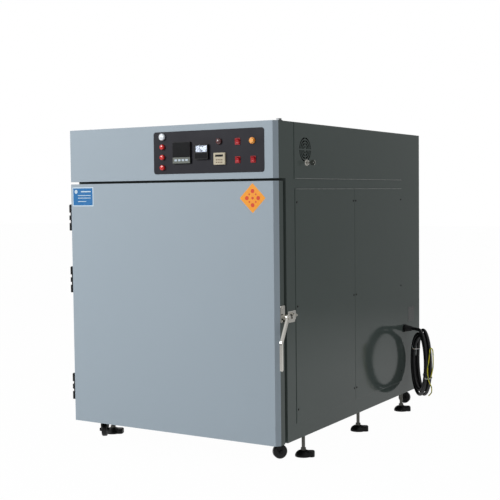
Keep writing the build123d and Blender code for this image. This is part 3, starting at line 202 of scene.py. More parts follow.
def makeMaterial(name, settings):
    # A surface from its settings: colour, drift, roughness range, relief and the shader's own numbers.
    material = bpy.data.materials.new(name)
    material.use_nodes = True
    shader = material.node_tree.nodes["Principled BSDF"]
    link = material.node_tree.links.new
    colour = linear(*settings["colour"])
    drift, driftScale = settings.get("drift", (0.06, 5.0))
    mottle = useGroup(material, "mottle", {"Color": colour, "Scale": driftScale, "Amount": drift})
    link(mottle.outputs["Color"], shader.inputs["Base Color"])
    low, high = settings["rough"]
    sheenScale = settings.get("sheenScale", 14.0)
    sheen = useGroup(material, "sheen", {"Scale": sheenScale, "Low": low, "High": high})
    link(sheen.outputs["Roughness"], shader.inputs["Roughness"])
    scale, strength, depth = settings.get("relief", (600.0, 0.15, 0.0002))
    stretch = settings.get("stretch", (1.0, 1.0, 1.0))
    values = {"Scale": scale, "Strength": strength, "Depth": depth, "Stretch": stretch}
    grain = useGroup(material, "grain", values)
    link(grain.outputs["Normal"], shader.inputs["Normal"])
    for label, value in settings.get("shader", {}).items():
        shader.inputs[label].default_value = value
    return material


surfaceSettings = {
    "frontPaint": {
        "colour": (156, 169, 179),
        "drift": (0.03, 2.5),
        "rough": (0.44, 0.52),
        "relief": (700.0, 0.12, 0.0003),
        "shader": {"Specular IOR Level": 0.25},
    },
    "sidePaint": {
        "colour": (84, 94, 91),
        "drift": (0.10, 3.0),
        "rough": (0.08, 0.14),
        "sheenScale": 5.0,
        "relief": (260.0, 0.05, 0.0003),
        "shader": {"Specular IOR Level": 0.13},
    },
    "platePaint": {
        "colour": (33, 33, 40),
        "drift": (0.05, 30.0),
        "rough": (0.40, 0.50),
        "relief": (1500.0, 0.15, 0.0002),
        "shader": {"Specular IOR Level": 0.15},
    },
    "blackPaint": {"colour": (16, 17, 18), "rough": (0.34, 0.44), "shader": {"Specular IOR Level": 0.2}},
    "motorPaint": {"colour": (96, 106, 110), "rough": (0.40, 0.55), "relief": (300.0, 0.3, 0.0004)},
    "galvanised": {
        "colour": (168, 172, 176),
        "drift": (0.5, 40.0),
        "rough": (0.32, 0.55),
        "sheenScale": 50.0,
        "shader": {"Metallic": 1.0},
    },
    "stainless": {
        "colour": (190, 190, 186),
        "drift": (0.08, 20.0),
        "rough": (0.22, 0.34),
        "relief": (90.0, 0.12, 0.0002),
        "stretch": (1.0, 1.0, 30.0),
        "shader": {"Metallic": 1.0},
    },
    "zinc": {
        "colour": (120, 122, 124),
        "drift": (0.3, 90.0),
        "rough": (0.30, 0.48),
        "sheenScale": 80.0,
        "shader": {"Metallic": 1.0},
    },
    "studSteel": {
        "colour": (84, 84, 80),
        "drift": (0.3, 90.0),
        "rough": (0.36, 0.50),
        "sheenScale": 80.0,
        "shader": {"Metallic": 1.0},
    },
    "chrome": {
        "colour": (188, 186, 180),
        "drift": (0.05, 30.0),
        "rough": (0.06, 0.14),
        "sheenScale": 60.0,
        "relief": (120.0, 0.06, 0.0003),
        "shader": {"Metallic": 1.0},
    },
    "wool": {
        "colour": (214, 200, 150),
        "drift": (0.5, 120.0),
        "rough": (0.85, 1.0),
        "relief": (500.0, 0.9, 0.002),
        "stretch": (1.0, 6.0, 6.0),
    },
    "silicone": {"colour": (22, 23, 24), "rough": (0.45, 0.60), "relief": (900.0, 0.2, 0.0003)},
    "blackPlastic": {
        "colour": (18, 19, 20),
        "rough": (0.34, 0.48),
        "relief": (2200.0, 0.25, 0.0002),
        "shader": {"Specular IOR Level": 0.25},
    },
    "castBlack": {
        "colour": (13, 14, 14),
        "rough": (0.40, 0.60),
        "relief": (700.0, 0.5, 0.0005),
        "shader": {"Specular IOR Level": 0.2},
    },
    # Painted highlight: a lighter copy of the side paint for the panel edge beads
    "paintedEdgeHighlight": {"colour": (122, 128, 126), "rough": (0.24, 0.32), "shader": {"Specular IOR Level": 0.4}},
    "beigePlastic": {"colour": (184, 174, 150), "rough": (0.38, 0.50), "relief": (1800.0, 0.2, 0.0002)},
    "glossBlack": {"colour": (9, 10, 11), "rough": (0.06, 0.12), "relief": (200.0, 0.02, 0.0001)},
    "faceBlack": {
        "colour": (13, 14, 17),
        "rough": (0.30, 0.40),
        "relief": (300.0, 0.03, 0.0001),
        "shader": {"Specular IOR Level": 0.08},
    },
    "cableRubber": {
        "colour": (15, 17, 20),
        "drift": (0.3, 60.0),
        "rough": (0.40, 0.56),
        "sheenScale": 70.0,
        "relief": (1100.0, 0.25, 0.0003),
        "shader": {"Specular IOR Level": 0.35},
    },
    "tieNylon": {
        "colour": (232, 232, 226),
        "rough": (0.26, 0.36),
        "shader": {"Subsurface Weight": 0.2, "Subsurface Scale": 0.002},
    },
    "redLens": {
        "colour": (205, 24, 20),
        "rough": (0.08, 0.16),
        "relief": (420.0, 0.5, 0.0008),
        "shader": {"Coat Weight": 0.6, "Subsurface Weight": 0.15, "Subsurface Scale": 0.003},
    },
    "darkRedLens": {
        "colour": (74, 14, 20),
        "rough": (0.06, 0.12),
        "relief": (300.0, 0.35, 0.0008),
        "shader": {"Coat Weight": 0.8},
    },
    "whiteLens": {
        "colour": (226, 232, 238),
        "rough": (0.10, 0.18),
        "relief": (320.0, 0.6, 0.001),
        "shader": {"Coat Weight": 0.6},
    },
    "redRocker": {"colour": (168, 20, 30), "rough": (0.34, 0.44), "shader": {"Specular IOR Level": 0.25}},
    "amberButton": {
        "colour": (242, 158, 44),
        "rough": (0.18, 0.28),
        "shader": {"Coat Weight": 0.4, "Subsurface Weight": 0.2, "Subsurface Scale": 0.003},
    },
    "paleInk": {"colour": (214, 216, 220), "rough": (0.40, 0.50)},
    "dialCard": {"colour": (214, 222, 236), "drift": (0.02, 50.0), "rough": (0.45, 0.55)},
    "dialInk": {"colour": (40, 44, 54), "rough": (0.45, 0.55)},
    "stripGreen": {"colour": (84, 90, 82), "rough": (0.36, 0.46)},
    "keyPale": {"colour": (176, 190, 202), "rough": (0.34, 0.44)},
    "keyBrown": {"colour": (122, 98, 74), "rough": (0.40, 0.50)},
    "labelBlue": {"colour": (32, 110, 170), "drift": (0.08, 20.0), "rough": (0.22, 0.30)},
    "labelPale": {"colour": (196, 214, 226), "rough": (0.26, 0.34)},
    "labelOrange": {"colour": (246, 158, 34), "drift": (0.05, 30.0), "rough": (0.24, 0.32)},
    "labelRed": {"colour": (214, 62, 20), "rough": (0.26, 0.34)},
    "plateDark": {"colour": (58, 62, 62), "rough": (0.30, 0.40), "shader": {"Metallic": 0.3}},
    "plateRule": {"colour": (92, 84, 76), "rough": (0.35, 0.45)},
    "yellowSheath": {"colour": (232, 222, 50), "drift": (0.1, 40.0), "rough": (0.32, 0.42)},
}
surfaces = {name: makeMaterial(name, settings) for name, settings in surfaceSettings.items()}


def stripeWire(material):
    # A green stripe that winds slowly round the yellow sheath.
    nodes = material.node_tree.nodes
    link = material.node_tree.links.new
    shader = nodes["Principled BSDF"]
    before = shader.inputs["Base Color"].links[0].from_socket
    where = nodes.new("ShaderNodeTexCoord")
    parts = nodes.new("ShaderNodeSeparateXYZ")
    turns = nodes.new("ShaderNodeMath")
    turns.operation = "MULTIPLY"
    turns.inputs[1].default_value = 9.0
    total = nodes.new("ShaderNodeMath")
    total.operation = "ADD"
    wrap = nodes.new("ShaderNodeMath")
    wrap.operation = "FRACT"
    inside = nodes.new("ShaderNodeMath")
    inside.operation = "LESS_THAN"
    inside.inputs[1].default_value = 0.22
    mix = nodes.new("ShaderNodeMix")
    mix.data_type = "RGBA"
    mix.inputs["B"].default_value = linear(70, 120, 44)
    link(where.outputs["UV"], parts.inputs[0])
    link(parts.outputs["X"], turns.inputs[0])
    link(turns.outputs[0], total.inputs[0])
    link(parts.outputs["Y"], total.inputs[1])
    link(total.outputs[0], wrap.inputs[0])
    link(wrap.outputs[0], inside.inputs[0])
    link(inside.outputs[0], mix.inputs["Factor"])
    link(before, mix.inputs["A"])
    link(mix.outputs["Result"], shader.inputs["Base Color"])


stripeWire(surfaces["yellowSheath"])


def clearPane(name):
    # A thin clear acrylic cover.
    settings = {"colour": (250, 252, 255), "rough": (0.03, 0.06), "relief": (90.0, 0.02, 0.0001)}
    material = makeMaterial(name, settings)
    shader = material.node_tree.nodes["Principled BSDF"]
    shader.inputs["Transmission Weight"].default_value = 1.0
    shader.inputs["IOR"].default_value = 1.05
    return material


surfaces["clearPane"] = clearPane("clearPane")
print("stage: surfaces", len(surfaces))

# Cords: the mains lead runs from its gland into an upright oval coil of four turns
coilTurn = math.radians(-48)
coilCentre = Vector((0.674, 0.552, 0.290))
coilAlong = Vector((math.cos(coilTurn), math.sin(coilTurn), 0))
coilOut = Vector((coilAlong.y, -coilAlong.x, 0))


def inCoil(along, up, out):
    # A point given in the coil's own plane, in millimetres.
    return coilCentre + (coilAlong * along + upward * up + coilOut * out) / 1000


def makeCord(name, points, diameter, surface, settings):
    data = bpy.data.curves.new(name, "CURVE")
    data.dimensions = "3D"
    data.bevel_depth = diameter / 2
    data.bevel_resolution = 6
    data.resolution_u = 6
    data.use_fill_caps = True
    spline = data.splines.new("NURBS")
    spline.points.add(len(points) - 1)
    for number, point in enumerate(points):
        spline.points[number].co = (*point, 1)
    spline.order_u = 3
    spline.use_endpoint_u = True
    piece = bpy.data.objects.new(name, data)
    scene.collection.objects.link(piece)
    data.materials.append(surfaces[surface])
    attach(piece, "cabinet")
    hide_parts(*settings["replaces"])
    return piece


coilSettings = {
    "middle": (98.0, 160.0),
    "pointsPerTurn": 16,
    "start": 84.0,
    "stops": [(11.5, 12.5), (-10.5, 10.5), (-11.5, -12.5), (10.5, -10.5)],
    "lastTurn": 13,
    "wander": 1.4,
}


def coilPoints(settings):
    # Four turns that step in, across and out again, each step near the end of a turn.
    points = []
    count = settings["pointsPerTurn"]
    stops = settings["stops"]
    for turn, (radial, out) in enumerate(stops):
        last = turn == len(stops) - 1
        after = stops[turn] if last else stops[turn + 1]
        for step in range(settings["lastTurn"] if last else count):
            share = max(0.0, (step - 0.78 * count) / (0.22 * count))
            ease = share * share * (3 - 2 * share)
            angle = math.radians(settings["start"] - 360 * (turn + step / count))
            offset = radial + (after[0] - radial) * ease
            depth = out + (after[1] - out) * ease
            loose = settings["wander"] * math.sin(angle * 2 + turn * 1.7)
            sag = -settings["wander"] * (turn % 2) * math.cos(angle)
            wide = (settings["middle"][0] + offset + loose) * 1.012
            tall = (settings["middle"][1] + offset + loose) * 1.012
            points.append(inCoil(math.cos(angle) * wide, math.sin(angle) * tall + sag, depth))
    return points


leadPoints = [Vector((0.602, 0.571, 0.462)), Vector((0.630, 0.571, 0.462)), inCoil(-14, 171, 14)]
mainsPoints = leadPoints + coilPoints(coilSettings)
mainsSettings = {
    "slot": "cable_sheath",
    "replaces": ("power_cable", "cable_coil"),
    "length": 3.14,
    "stiffness": "stiff",
    "coiled": True,
}
makeCord("mainsCable", mainsPoints, 0.017, "cableRubber", mainsSettings)

earthPlaces = [
    (108, -62, -12),
    (123, -20, -18),
    (123, 26, -19),
    (118, 60, -20),
    (113, 78, -21),
    (110, 87, -17),
    (110, 87, -8),
    (113, 78, -4),
    (117, 60, -2),
    (123, 26, 5),
    (124, -14, 13),
    (119, -55, 10),
    (108, -90, -3),
    (97, -114, -19),
    (82, -138, -27),
    (64, -158, -30),
    (44, -172, -24),
]
earthSettings = {
    "slot": "earth_sheath",
    "replaces": ("earth_wire",),
    "length": 0.455,
    "stiffness": "medium",
    "coiled": False,
}
makeCord("earthLead", [inCoil(*place) for place in earthPlaces], 0.006, "yellowSheath", earthSettings)
print("stage: cords")


# Mesh helpers
def finishPiece(name, mesh, surface, settings):
    # Puts a bmesh into the scene on its body and hides the CAD nodes it replaces.
    data = bpy.data.meshes.new(name)
    bmesh.ops.recalc_face_normals(mesh, faces=mesh.faces)
    mesh.to_mesh(data)
    mesh.free()
    piece = bpy.data.objects.new(name, data)
    scene.collection.objects.link(piece)
    data.materials.append(surfaces[surface])
    for face in data.polygons:
        face.use_smooth = settings.get("smooth", False)
    if settings.get("smooth", False):
        data.set_sharp_from_angle(angle=math.radians(38))
    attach(piece, settings.get("body", "cabinet"))
    if "replaces" in settings:
        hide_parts(*settings["replaces"])
    return piece


def addLathe(mesh, profile, origin, direction, segments):
    # Turns a profile of (radius, height) round a direction, closed at radius 0.
    direction = Vector(direction).normalized()
    side = direction.orthogonal().normalized()
    other = direction.cross(side)
    rings = []
    for radius, height in profile:
        centre = Vector(origin) + direction * height
        if radius < 1e-7:
            rings.append([mesh.verts.new(centre)])
            continue
        ring = []
        for number in range(segments):
            angle = 2 * math.pi * number / segments
            spoke = side * math.cos(angle) + other * math.sin(angle)
            ring.append(mesh.verts.new(centre + spoke * radius))
        rings.append(ring)
    for low, high in zip(rings, rings[1:]):
        for number in range(segments):
            following = (number + 1) % segments
            corners = [low[number % len(low)], low[following % len(low)]]
            corners += [high[following % len(high)], high[number % len(high)]]
            unique = []
            for corner in corners:
                if corner not in unique:
                    unique.append(corner)
            if len(unique) > 2:
                mesh.faces.new(unique)


def addPlate(mesh, outline, origin, across, up, thick, edge=0.0):
    # A flat plate from an outline of (across, up) in metres, its back on origin's plane.
    normal = Vector(across).cross(Vector(up)).normalized()
    rows = []
    levels = [(0.0, 0.0), (thick - edge, 0.0), (thick, edge)] if edge else [(0.0, 0.0), (thick, 0.0)]
    middle = (sum(p[0] for p in outline) / len(outline), sum(p[1] for p in outline) / len(outline))
    for height, inset in levels:
        row = []
        for a, b in outline:
            reach = math.hypot(a - middle[0], b - middle[1])
            shrink = 1 - inset / reach if reach else 1
            a = middle[0] + (a - middle[0]) * shrink
            b = middle[1] + (b - middle[1]) * shrink
            place = Vector(origin) + Vector(across) * a + Vector(up) * b
            row.append(mesh.verts.new(place + normal * height))
        rows.append(row)
    count = len(outline)
    for low, high in zip(rows, rows[1:]):
        for number in range(count):
            following = (number + 1) % count
            mesh.faces.new([low[number], low[following], high[following], high[number]])
    mesh.faces.new(rows[0][::-1])
    mesh.faces.new(rows[-1])


def roundedOutline(width, height, corner, steps=6, centre=(0.0, 0.0)):
    # Corner points of a rectangle with rounded corners.
    points = []
    corners = [(1, 1, 0), (-1, 1, 90), (-1, -1, 180), (1, -1, 270)]
    for signA, signB, start in corners:
        for step in range(steps + 1):
            angle = math.radians(start + 90 * step / steps)
            a = centre[0] + signA * (width / 2 - corner) + corner * math.cos(angle)
            b = centre[1] + signB * (height / 2 - corner) + corner * math.sin(angle)
            points.append((a, b))
    return points


def surfacePoint(node, origin, direction):
    # Where a ray meets a CAD node, with the surface's outward direction.
    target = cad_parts[node]
    found, place, normal, _ = target.ray_cast(Vector(origin), Vector(direction))
    if not found:
        raise RuntimeError(f"no surface of {node} on the ray from {origin}")
    return place, normal


def onPlate(a, b, height=0.0):
    # A point in front of the control plate, from millimetres on it.
    return Vector((plateX + a / 1000, plateFront - height / 1000, plateZ + b / 1000))


# Carried-over nodes take their finished surfaces
nodeSurfaces = {
    "frontPaint": ["door_skin", "header_fascia"],
    "sidePaint": [
        "base_frame",
        "front_frame",
        "side_walls",
        "roof_panel",
        "rear_cover",
        "header_box",
        "right_lower_panels",
        "right_upper_panel",
        "left_panels",
        "door_frame",
    ],
    "platePaint": ["control_plate"],
    "blackPaint": ["hinge_door_leaves", "hinge_frame_leaves"],
    "motorPaint": ["blower_motor"],
    "galvanised": ["inner_bulkheads", "blower_wheel"],
    "stainless": ["chamber_liner", "air_duct", "heater_elements", "shelf_rails", "shelves", "door_liner"],
    "studSteel": ["foot_studs"],
    "chrome": ["latch_base", "latch_lever", "latch_keeper", "cam_lock", "lock_key"],
    "wool": ["chamber_insulation", "door_core"],
    "silicone": ["door_gasket"],
    "blackPlastic": ["controller", "ammeter", "cable_gland"],
    "faceBlack": ["cooling_fan_frame", "fan_rotor"],
    "castBlack": ["foot_pads", "caster_plates"],
    "beigePlastic": ["timer"],
    "redRocker": ["switch_bezels", "rocker_1", "rocker_2", "rocker_3"],
    "amberButton": ["push_button"],
    "dialInk": ["ammeter_needle"],
}
for corner in ("front_left", "front_right", "rear_right", "rear_left"):
    nodeSurfaces["castBlack"].append(f"caster_fork_{corner}")
    nodeSurfaces["blackPlastic"].append(f"caster_wheel_{corner}")
for surface, nodes in nodeSurfaces.items():
    for node in nodes:
        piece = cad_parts[node]
        piece.data.materials.clear()
        piece.data.materials.append(surfaces[surface])
print("stage: node surfaces")


# Cable ties drawn tight round the turns, each with its head
def addBand(mesh, centre, radial, out, halfSize, thick, width):
    # A rounded band round the bundle, in the plane of radial and out.
    runDirection = radial.cross(out).normalized()
    inner = roundedOutline(2 * halfSize, 2 * halfSize, 0.0085, 5)
    outer = roundedOutline(2 * (halfSize + thick), 2 * (halfSize + thick), 0.0085 + thick, 5)
    rows = []
    for shape, shift in ((inner, -width / 2), (outer, -width / 2), (outer, width / 2), (inner, width / 2)):
        rows.append(
            [mesh.verts.new(centre + radial * a + out * b + runDirection * shift) for a, b in shape]
        )
    count = len(inner)
    for low, high in zip(rows, rows[1:] + rows[:1]):
        for number in range(count):
            following = (number + 1) % count
            mesh.faces.new([low[number], low[following], high[following], high[number]])


tieSettings = {
    "angles": (153.0, -22.0),
    "halfSize": 0.0202,
    "thick": 0.0013,
    "width": 0.0046,
    "head": (0.0080, 0.0062, 0.0052),
    "slot": "tie_plastic",
    "replaces": ("cable_ties",),
    "smooth": True,
}


def makeTies(settings):
    mesh = bmesh.new()
    for angle in settings["angles"]:
        across = math.cos(math.radians(angle)) * coilSettings["middle"][0]
        up = math.sin(math.radians(angle)) * coilSettings["middle"][1]
        centre = inCoil(across, up, 0)
        radial = (centre - coilCentre).normalized()
        addBand(mesh, centre, radial, coilOut, settings["halfSize"], settings["thick"], settings["width"])
        wide, tall, thick = settings["head"]
        run = radial.cross(coilOut).normalized()
        spot = centre + radial * (settings["halfSize"] + settings["thick"] * 0.5) - coilOut * 0.006
        addPlate(mesh, roundedOutline(wide, tall, 0.001, 3), spot, coilOut, -run, thick, 0.0006)
    finishPiece("cableTies", mesh, "tieNylon", settings)


makeTies(tieSettings)

# Panel screws: pan heads with a cross recess, twelve on each side
screwSettings = {
    "rows": (0.242, 0.694, 1.147),
    "columns": (-0.613, -0.049, -0.023, 0.524),
    "profile": [(0.0, 0.0026), (0.0024, 0.0025), (0.0040, 0.0019), (0.0048, 0.0008), (0.0050, 0.0)],
    "slot": "black_paint",
    "smooth": True,
}


def makeScrews(name, side, body, node, settings):
    mesh = bmesh.new()
    for height in settings["rows"]:
        for depth in settings["columns"]:
            start = Vector((side * (sideX + 0.1), depth, height))
            place, normal = surfacePoint(node, start, (-side, 0, 0))
            addLathe(mesh, settings["profile"], place, (side, 0, 0), 20)
            for across, up in ((Vector((0, 1, 0)), upward), (upward, Vector((0, -1, 0)))):
                if side < 0:
                    across = -across
                outline = roundedOutline(0.0052, 0.0010, 0.0003, 2)
                addPlate(mesh, outline, place + Vector((side * 0.0021, 0, 0)), across, up, 0.0007)
    finishPiece(name, mesh, "blackPaint", dict(settings, body=body))


makeScrews("rightPanelScrews", 1, "cabinet", "right_lower_panels", screwSettings)
makeScrews("leftPanelScrews", -1, "cabinet", "left_panels", screwSettings)

# Rolled edges of the right panels, coloured lighter than the side paint as a painted highlight along each
# edge
edgeSettings = {"reach": 0.0011, "inset": 0.0016, "side": 0.006, "steps": 8}


def makeEdge(name, node, body, top, spans, settings):
    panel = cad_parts[node]
    corners = [panel.matrix_world @ Vector(corner) for corner in panel.bound_box]
    face = max(corner.x for corner in corners)
    heights = [corner.z for corner in corners]
    z = max(heights) - settings["inset"] if top else min(heights) + settings["inset"]
    low = min(corner.y for corner in corners)
    high = max(corner.y for corner in corners)
    mesh = bmesh.new()
    for start, end in spans:
        rows = []
        first = low + (high - low) * start + settings["side"]
        last = low + (high - low) * end - settings["side"]
        for y in (first, last):
            row = []
            for step in range(settings["steps"] + 1):
                angle = math.pi * step / settings["steps"] - math.pi / 2
                out = settings["reach"] * math.cos(angle)
                row.append(mesh.verts.new((face + out, y, z + settings["reach"] * math.sin(angle))))
            rows.append(row)
        for step in range(settings["steps"]):
            mesh.faces.new([rows[0][step], rows[1][step], rows[1][step + 1], rows[0][step + 1]])
        mesh.faces.new([rows[1][0], rows[0][0], rows[0][-1], rows[1][-1]])
        mesh.faces.new(rows[0])
        mesh.faces.new(rows[1][::-1])
    finishPiece(name, mesh, "paintedEdgeHighlight", {"slot": "side_paint", "body": body, "smooth": True})


makeEdge("lowerPanelEdges", "right_lower_panels", "cabinet", True, ((0, 0.5), (0.5, 1)), edgeSettings)
makeEdge("upperPanelEdge", "right_upper_panel", "access_panel", False, ((0, 1),), edgeSettings)

# A bolt in the header's front corner: a hexagon head on a washer
boltSettings = {
    "spots": ((0.5575, -0.739),),
    "head": (0.0130, 0.0075),
    "washer": (0.0160, 0.0016),
    "slot": "zinc",
}


def makeRoofBolts(settings):
    mesh = bmesh.new()
    radius, height = settings["head"]
    ring, thick = settings["washer"]
    for x, y in settings["spots"]:
        place, _ = surfacePoint("header_box", (x, y, topZ + 0.1), (0, 0, -1))
        addLathe(mesh, [(0, 0), (ring, 0), (ring, thick), (radius, thick)], place, upward, 32)
        turns = [math.radians(60 * number) for number in range(6)]
        outline = [(radius * math.cos(turn), radius * math.sin(turn)) for turn in turns]
        addPlate(mesh, outline, place + upward * thick, right, Vector((0, 1, 0)), height, 0.0010)
    finishPiece("roofBolts", mesh, "zinc", settings)


makeRoofBolts(boltSettings)
print("stage: ties, screws and bolts")


# Signal lamps: black collar and a domed lens
def lensProfile(radius, wall, rise):
    # A straight wall and a low dome that closes on the axis.
    points = [(radius * 0.98, 0.0), (radius, 0.0004), (radius, wall - 0.0006), (radius * 0.97, wall)]
    steps = 8
    for step in range(1, steps):
        angle = math.radians(90 * step / steps)
        points.append((radius * 0.97 * math.cos(angle), wall + (rise - wall) * math.sin(angle)))
    return points + [(0.0, rise)]


lampSettings = [
    {"name": "whiteLamp", "at": (-237, 71.5), "radius": 0.0152, "wall": 0.0095, "surface": "whiteLens"},
    {"name": "redLampUpper", "at": (-237, 26.5), "radius": 0.0117, "wall": 0.0095, "surface": "redLens"},
    {"name": "redLampMiddle", "at": (-237, -19.0), "radius": 0.0117, "wall": 0.0095, "surface": "redLens"},
    {"name": "redLampLower", "at": (-237, -64.5), "radius": 0.0117, "wall": 0.0095, "surface": "redLens"},
    {"name": "domeLamp", "at": (63, 41.5), "radius": 0.0140, "wall": 0.0055, "surface": "darkRedLens"},
]
lampRise = 0.0135
collarWidth, collarRise = 0.0016, 0.0020
stemRadius, stemLength = 0.0098, 0.0340
for number, lamp in enumerate(lampSettings):
    mesh = bmesh.new()
    place = onPlate(*lamp["at"])
    addLathe(mesh, lensProfile(lamp["radius"], lamp["wall"], lampRise), place, outFront, 40)
    details = {"slot": "lamp_lens", "smooth": True}
    if number == 0:
        details["replaces"] = ("signal_lamps",)
    finishPiece(lamp["name"], mesh, lamp["surface"], details)
    mesh = bmesh.new()
    outer = lamp["radius"] + 0.0009
    inner = outer - collarWidth
    profile = [(inner, 0.0), (outer, 0.0), (outer, 0.0014), (outer - 0.0007, collarRise), (inner, collarRise)]
    addLathe(mesh, profile, place, outFront, 40)
    finishPiece(lamp["name"] + "Collar", mesh, "blackPlastic", {"slot": "black_plastic", "smooth": True})
mesh = bmesh.new()
for lamp in lampSettings:
    place = onPlate(*lamp["at"])
    profile = [(0.0, 0.0), (stemRadius, 0.0), (stemRadius, -stemLength), (0.0, -stemLength)]
    addLathe(mesh, profile, place, outFront, 24)
finishPiece("lampStems", mesh, "blackPlastic", {"slot": "black_plastic", "smooth": True})
print("stage: lamps")


# Flat details on the instruments, each a small plate in front of the control plate
def makePlates(name, surface, shapes, settings):
    # One piece of several plates: (a, b, width, height, corner, front, thickness) in millimetres.
    mesh = bmesh.new()
    for a, b, width, height, corner, front, thick in shapes:
        outline = roundedOutline(width / 1000, height / 1000, corner / 1000, 4)
        edge = min(thick / 3, 0.25) / 1000
        addPlate(mesh, outline, onPlate(a, b, front), right, upward, thick / 1000, edge)
    return finishPiece(name, mesh, surface, settings)


controllerA, controllerB = -131.0, -2.0
makePlates(
    "controllerGlass",
    "faceBlack",
    [(controllerA, controllerB + 13.5, 92, 65, 2.6, 9.05, 0.8)],
    {"slot": "black_plastic"},
)
makePlates(
    "controllerStrip",
    "stripGreen",
    [(controllerA, controllerB - 32.8, 92, 26, 2.0, 9.05, 0.7)],
    {"slot": "black_plastic"},
)
keyPitch = 19.3
keyShapes = []
for number in range(4):
    keyShapes.append((controllerA - 29 + keyPitch * number, controllerB - 32, 13, 8.5, 1.2, 9.7, 1.0))
makePlates("controllerKeys", "keyPale", keyShapes, {"slot": "beige_plastic"})

# Ammeter: dial card with its scale, lower cover and clear window
meterA, meterB = -25.5, -1.0
dialB = meterB + 32.5 - 4.0 - 14.5
pivotB = dialB - 14.5 + 5.0
dialShape = (meterA, dialB, 62.4, 28.4, 0.5, 6.0, 0.25)
coverShape = (meterA, meterB - 17, 63, 24, 1.5, 11.9, 0.9)
makePlates("meterDial", "dialCard", [dialShape], {"slot": "beige_plastic"})
makePlates("meterCover", "faceBlack", [coverShape], {"slot": "black_plastic"})
makePlates("meterWindow", "clearPane", [(meterA, dialB, 62.6, 28.6, 0.5, 11.2, 0.6)], {"slot": "lamp_lens"})


inkLift = 0.00008


def makeScale(settings):
    mesh = bmesh.new()
    centre = onPlate(meterA, pivotB, 6.25)
    low, high = settings["angles"]
    inner, outer = settings["arc"]
    steps = 36
    outline = []
    for radius, order in ((outer, range(steps + 1)), (inner, range(steps, -1, -1))):
        for step in order:
            angle = math.radians(low + (high - low) * step / steps)
            outline.append((radius * math.sin(angle), radius * math.cos(angle)))
    points = [mesh.verts.new(centre + right * a + upward * b + outFront * inkLift) for a, b in outline]
    for step in range(steps):
        back = 2 * steps + 1 - step
        mesh.faces.new([points[step], points[step + 1], points[back - 1], points[back]])
    for number in range(settings["ticks"]):
        angle = math.radians(low + (high - low) * number / (settings["ticks"] - 1))
        major = number % 5 == 0
        reach = settings["major"] if major else settings["minor"]
        width = 0.00042 if major else 0.00022
        run = Vector((math.sin(angle), 0, math.cos(angle)))
        across = Vector((math.cos(angle), 0, -math.sin(angle)))
        corners = []
        for radius, side in ((outer, -1), (outer, 1), (outer + reach, 1), (outer + reach, -1)):
            spot = centre + run * radius + across * side * width
            corners.append(mesh.verts.new(spot + outFront * inkLift))
        mesh.faces.new(corners)
    finishPiece("meterScale", mesh, "dialInk", {"slot": "black_paint"})


scaleSettings = {
    "angles": (-47, 47),
    "arc": (0.0186, 0.0191),
    "ticks": 21,
    "major": 0.0030,
    "minor": 0.0016,
}
makeScale(scaleSettings)


def makeNumber(name, words, place, size):
    data = bpy.data.curves.new(name, "FONT")
    data.body = words
    data.size = size
    data.align_x = "CENTER"
    data.align_y = "CENTER"
    data.extrude = 0.00005
    piece = bpy.data.objects.new(name, data)
    piece.matrix_world = Matrix.Translation(place) @ Matrix.Rotation(math.radians(90), 4, "X")
    scene.collection.objects.link(piece)
    data.materials.append(surfaces["dialInk"])
    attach(piece, "cabinet")


for number, angle in ((0, -47), (10, -15.7), (20, 15.7), (30, 47)):
    turn = math.radians(angle)
    spot = onPlate(meterA + 16.0 * math.sin(turn), pivotB + 16.0 * math.cos(turn), 6.35)
    makeNumber(f"meterNumber{number}", str(number), spot, 0.0034)

# Timer: dark display and two rows of brown keys
timerA, timerB = 66.5, -32.5
displayShape = (timerA, timerB + 13, 42, 9, 0.6, 6.9, 0.5)
makePlates("timerDisplay", "glossBlack", [displayShape], {"slot": "black_plastic"})
timerKeys = []
for row in (-1, 1):
    for column in range(4):
        timerKeys.append((timerA - 13.5 + 9 * column, timerB - 10.4 + 5.5 * row, 5.6, 4.4, 0.6, 6.9, 0.7))
makePlates("timerKeys", "keyBrown", timerKeys, {"slot": "beige_plastic"})
timerSlots = [(a, b + 0.8, 3.6, 0.9, 0.3, 7.5, 0.15) for a, b, *_ in timerKeys]
makePlates("timerKeySlots", "glossBlack", timerSlots, {"slot": "black_plastic"})


# Marks on the rockers: a bar for on and a ring for off
markSettings = {
    "barHeight": 0.0045,
    "bar": (0.0007, 0.0026, 0.0003),
    "ringHeight": -0.0052,
    "ring": (0.0009, 0.0014),
    "thick": 0.00012,
}


def makeRockerMarks(number, spot, settings):
    mesh = bmesh.new()
    x, z = plateX + spot[0] / 1000, plateZ + spot[1] / 1000
    node = f"rocker_{number}"
    thick = settings["thick"]
    place, normal = surfacePoint(node, (x, frontY - 0.1, z + settings["barHeight"]), (0, 1, 0))
    up = normal.cross(Vector((-1, 0, 0))).normalized()
    if up.z < 0:
        up = -up
    addPlate(mesh, roundedOutline(*settings["bar"], 3), place, right, up, thick)
    place, normal = surfacePoint(node, (x, frontY - 0.1, z + settings["ringHeight"]), (0, 1, 0))
    inner, outer = settings["ring"]
    profile = [(inner, 0.0), (outer, 0.0), (outer, thick), (inner, thick), (inner, 0.0)]
    addLathe(mesh, profile, place, normal, 24)
    details = {"slot": "tie_plastic", "body": f"switch_{number}"}
    finishPiece(f"rockerMarks{number}", mesh, "paleInk", details)


rockerSpots = ((157, 38.5), (157, -39.5), (234, -39.5))
for number, spot in enumerate(rockerSpots, 1):
    makeRockerMarks(number, spot, markSettings)

# Amber ring round the push button
buttonSpot = (230, 40)
inner, outer, rise = 0.0109, 0.0141, 0.0057
ringProfile = [(inner, 0.0), (outer, 0.0), (outer, 0.0042), (0.0133, rise), (inner, rise), (inner, 0.0)]
mesh = bmesh.new()
addLathe(mesh, ringProfile, onPlate(*buttonSpot), outFront, 40)
finishPiece("buttonRing", mesh, "amberButton", {"slot": "beige_plastic", "smooth": True})
print("stage: instruments")

# Labels on the door: plain generic designs of the same colours and size
doorBody = {"body": "door", "slot": "front_paint"}


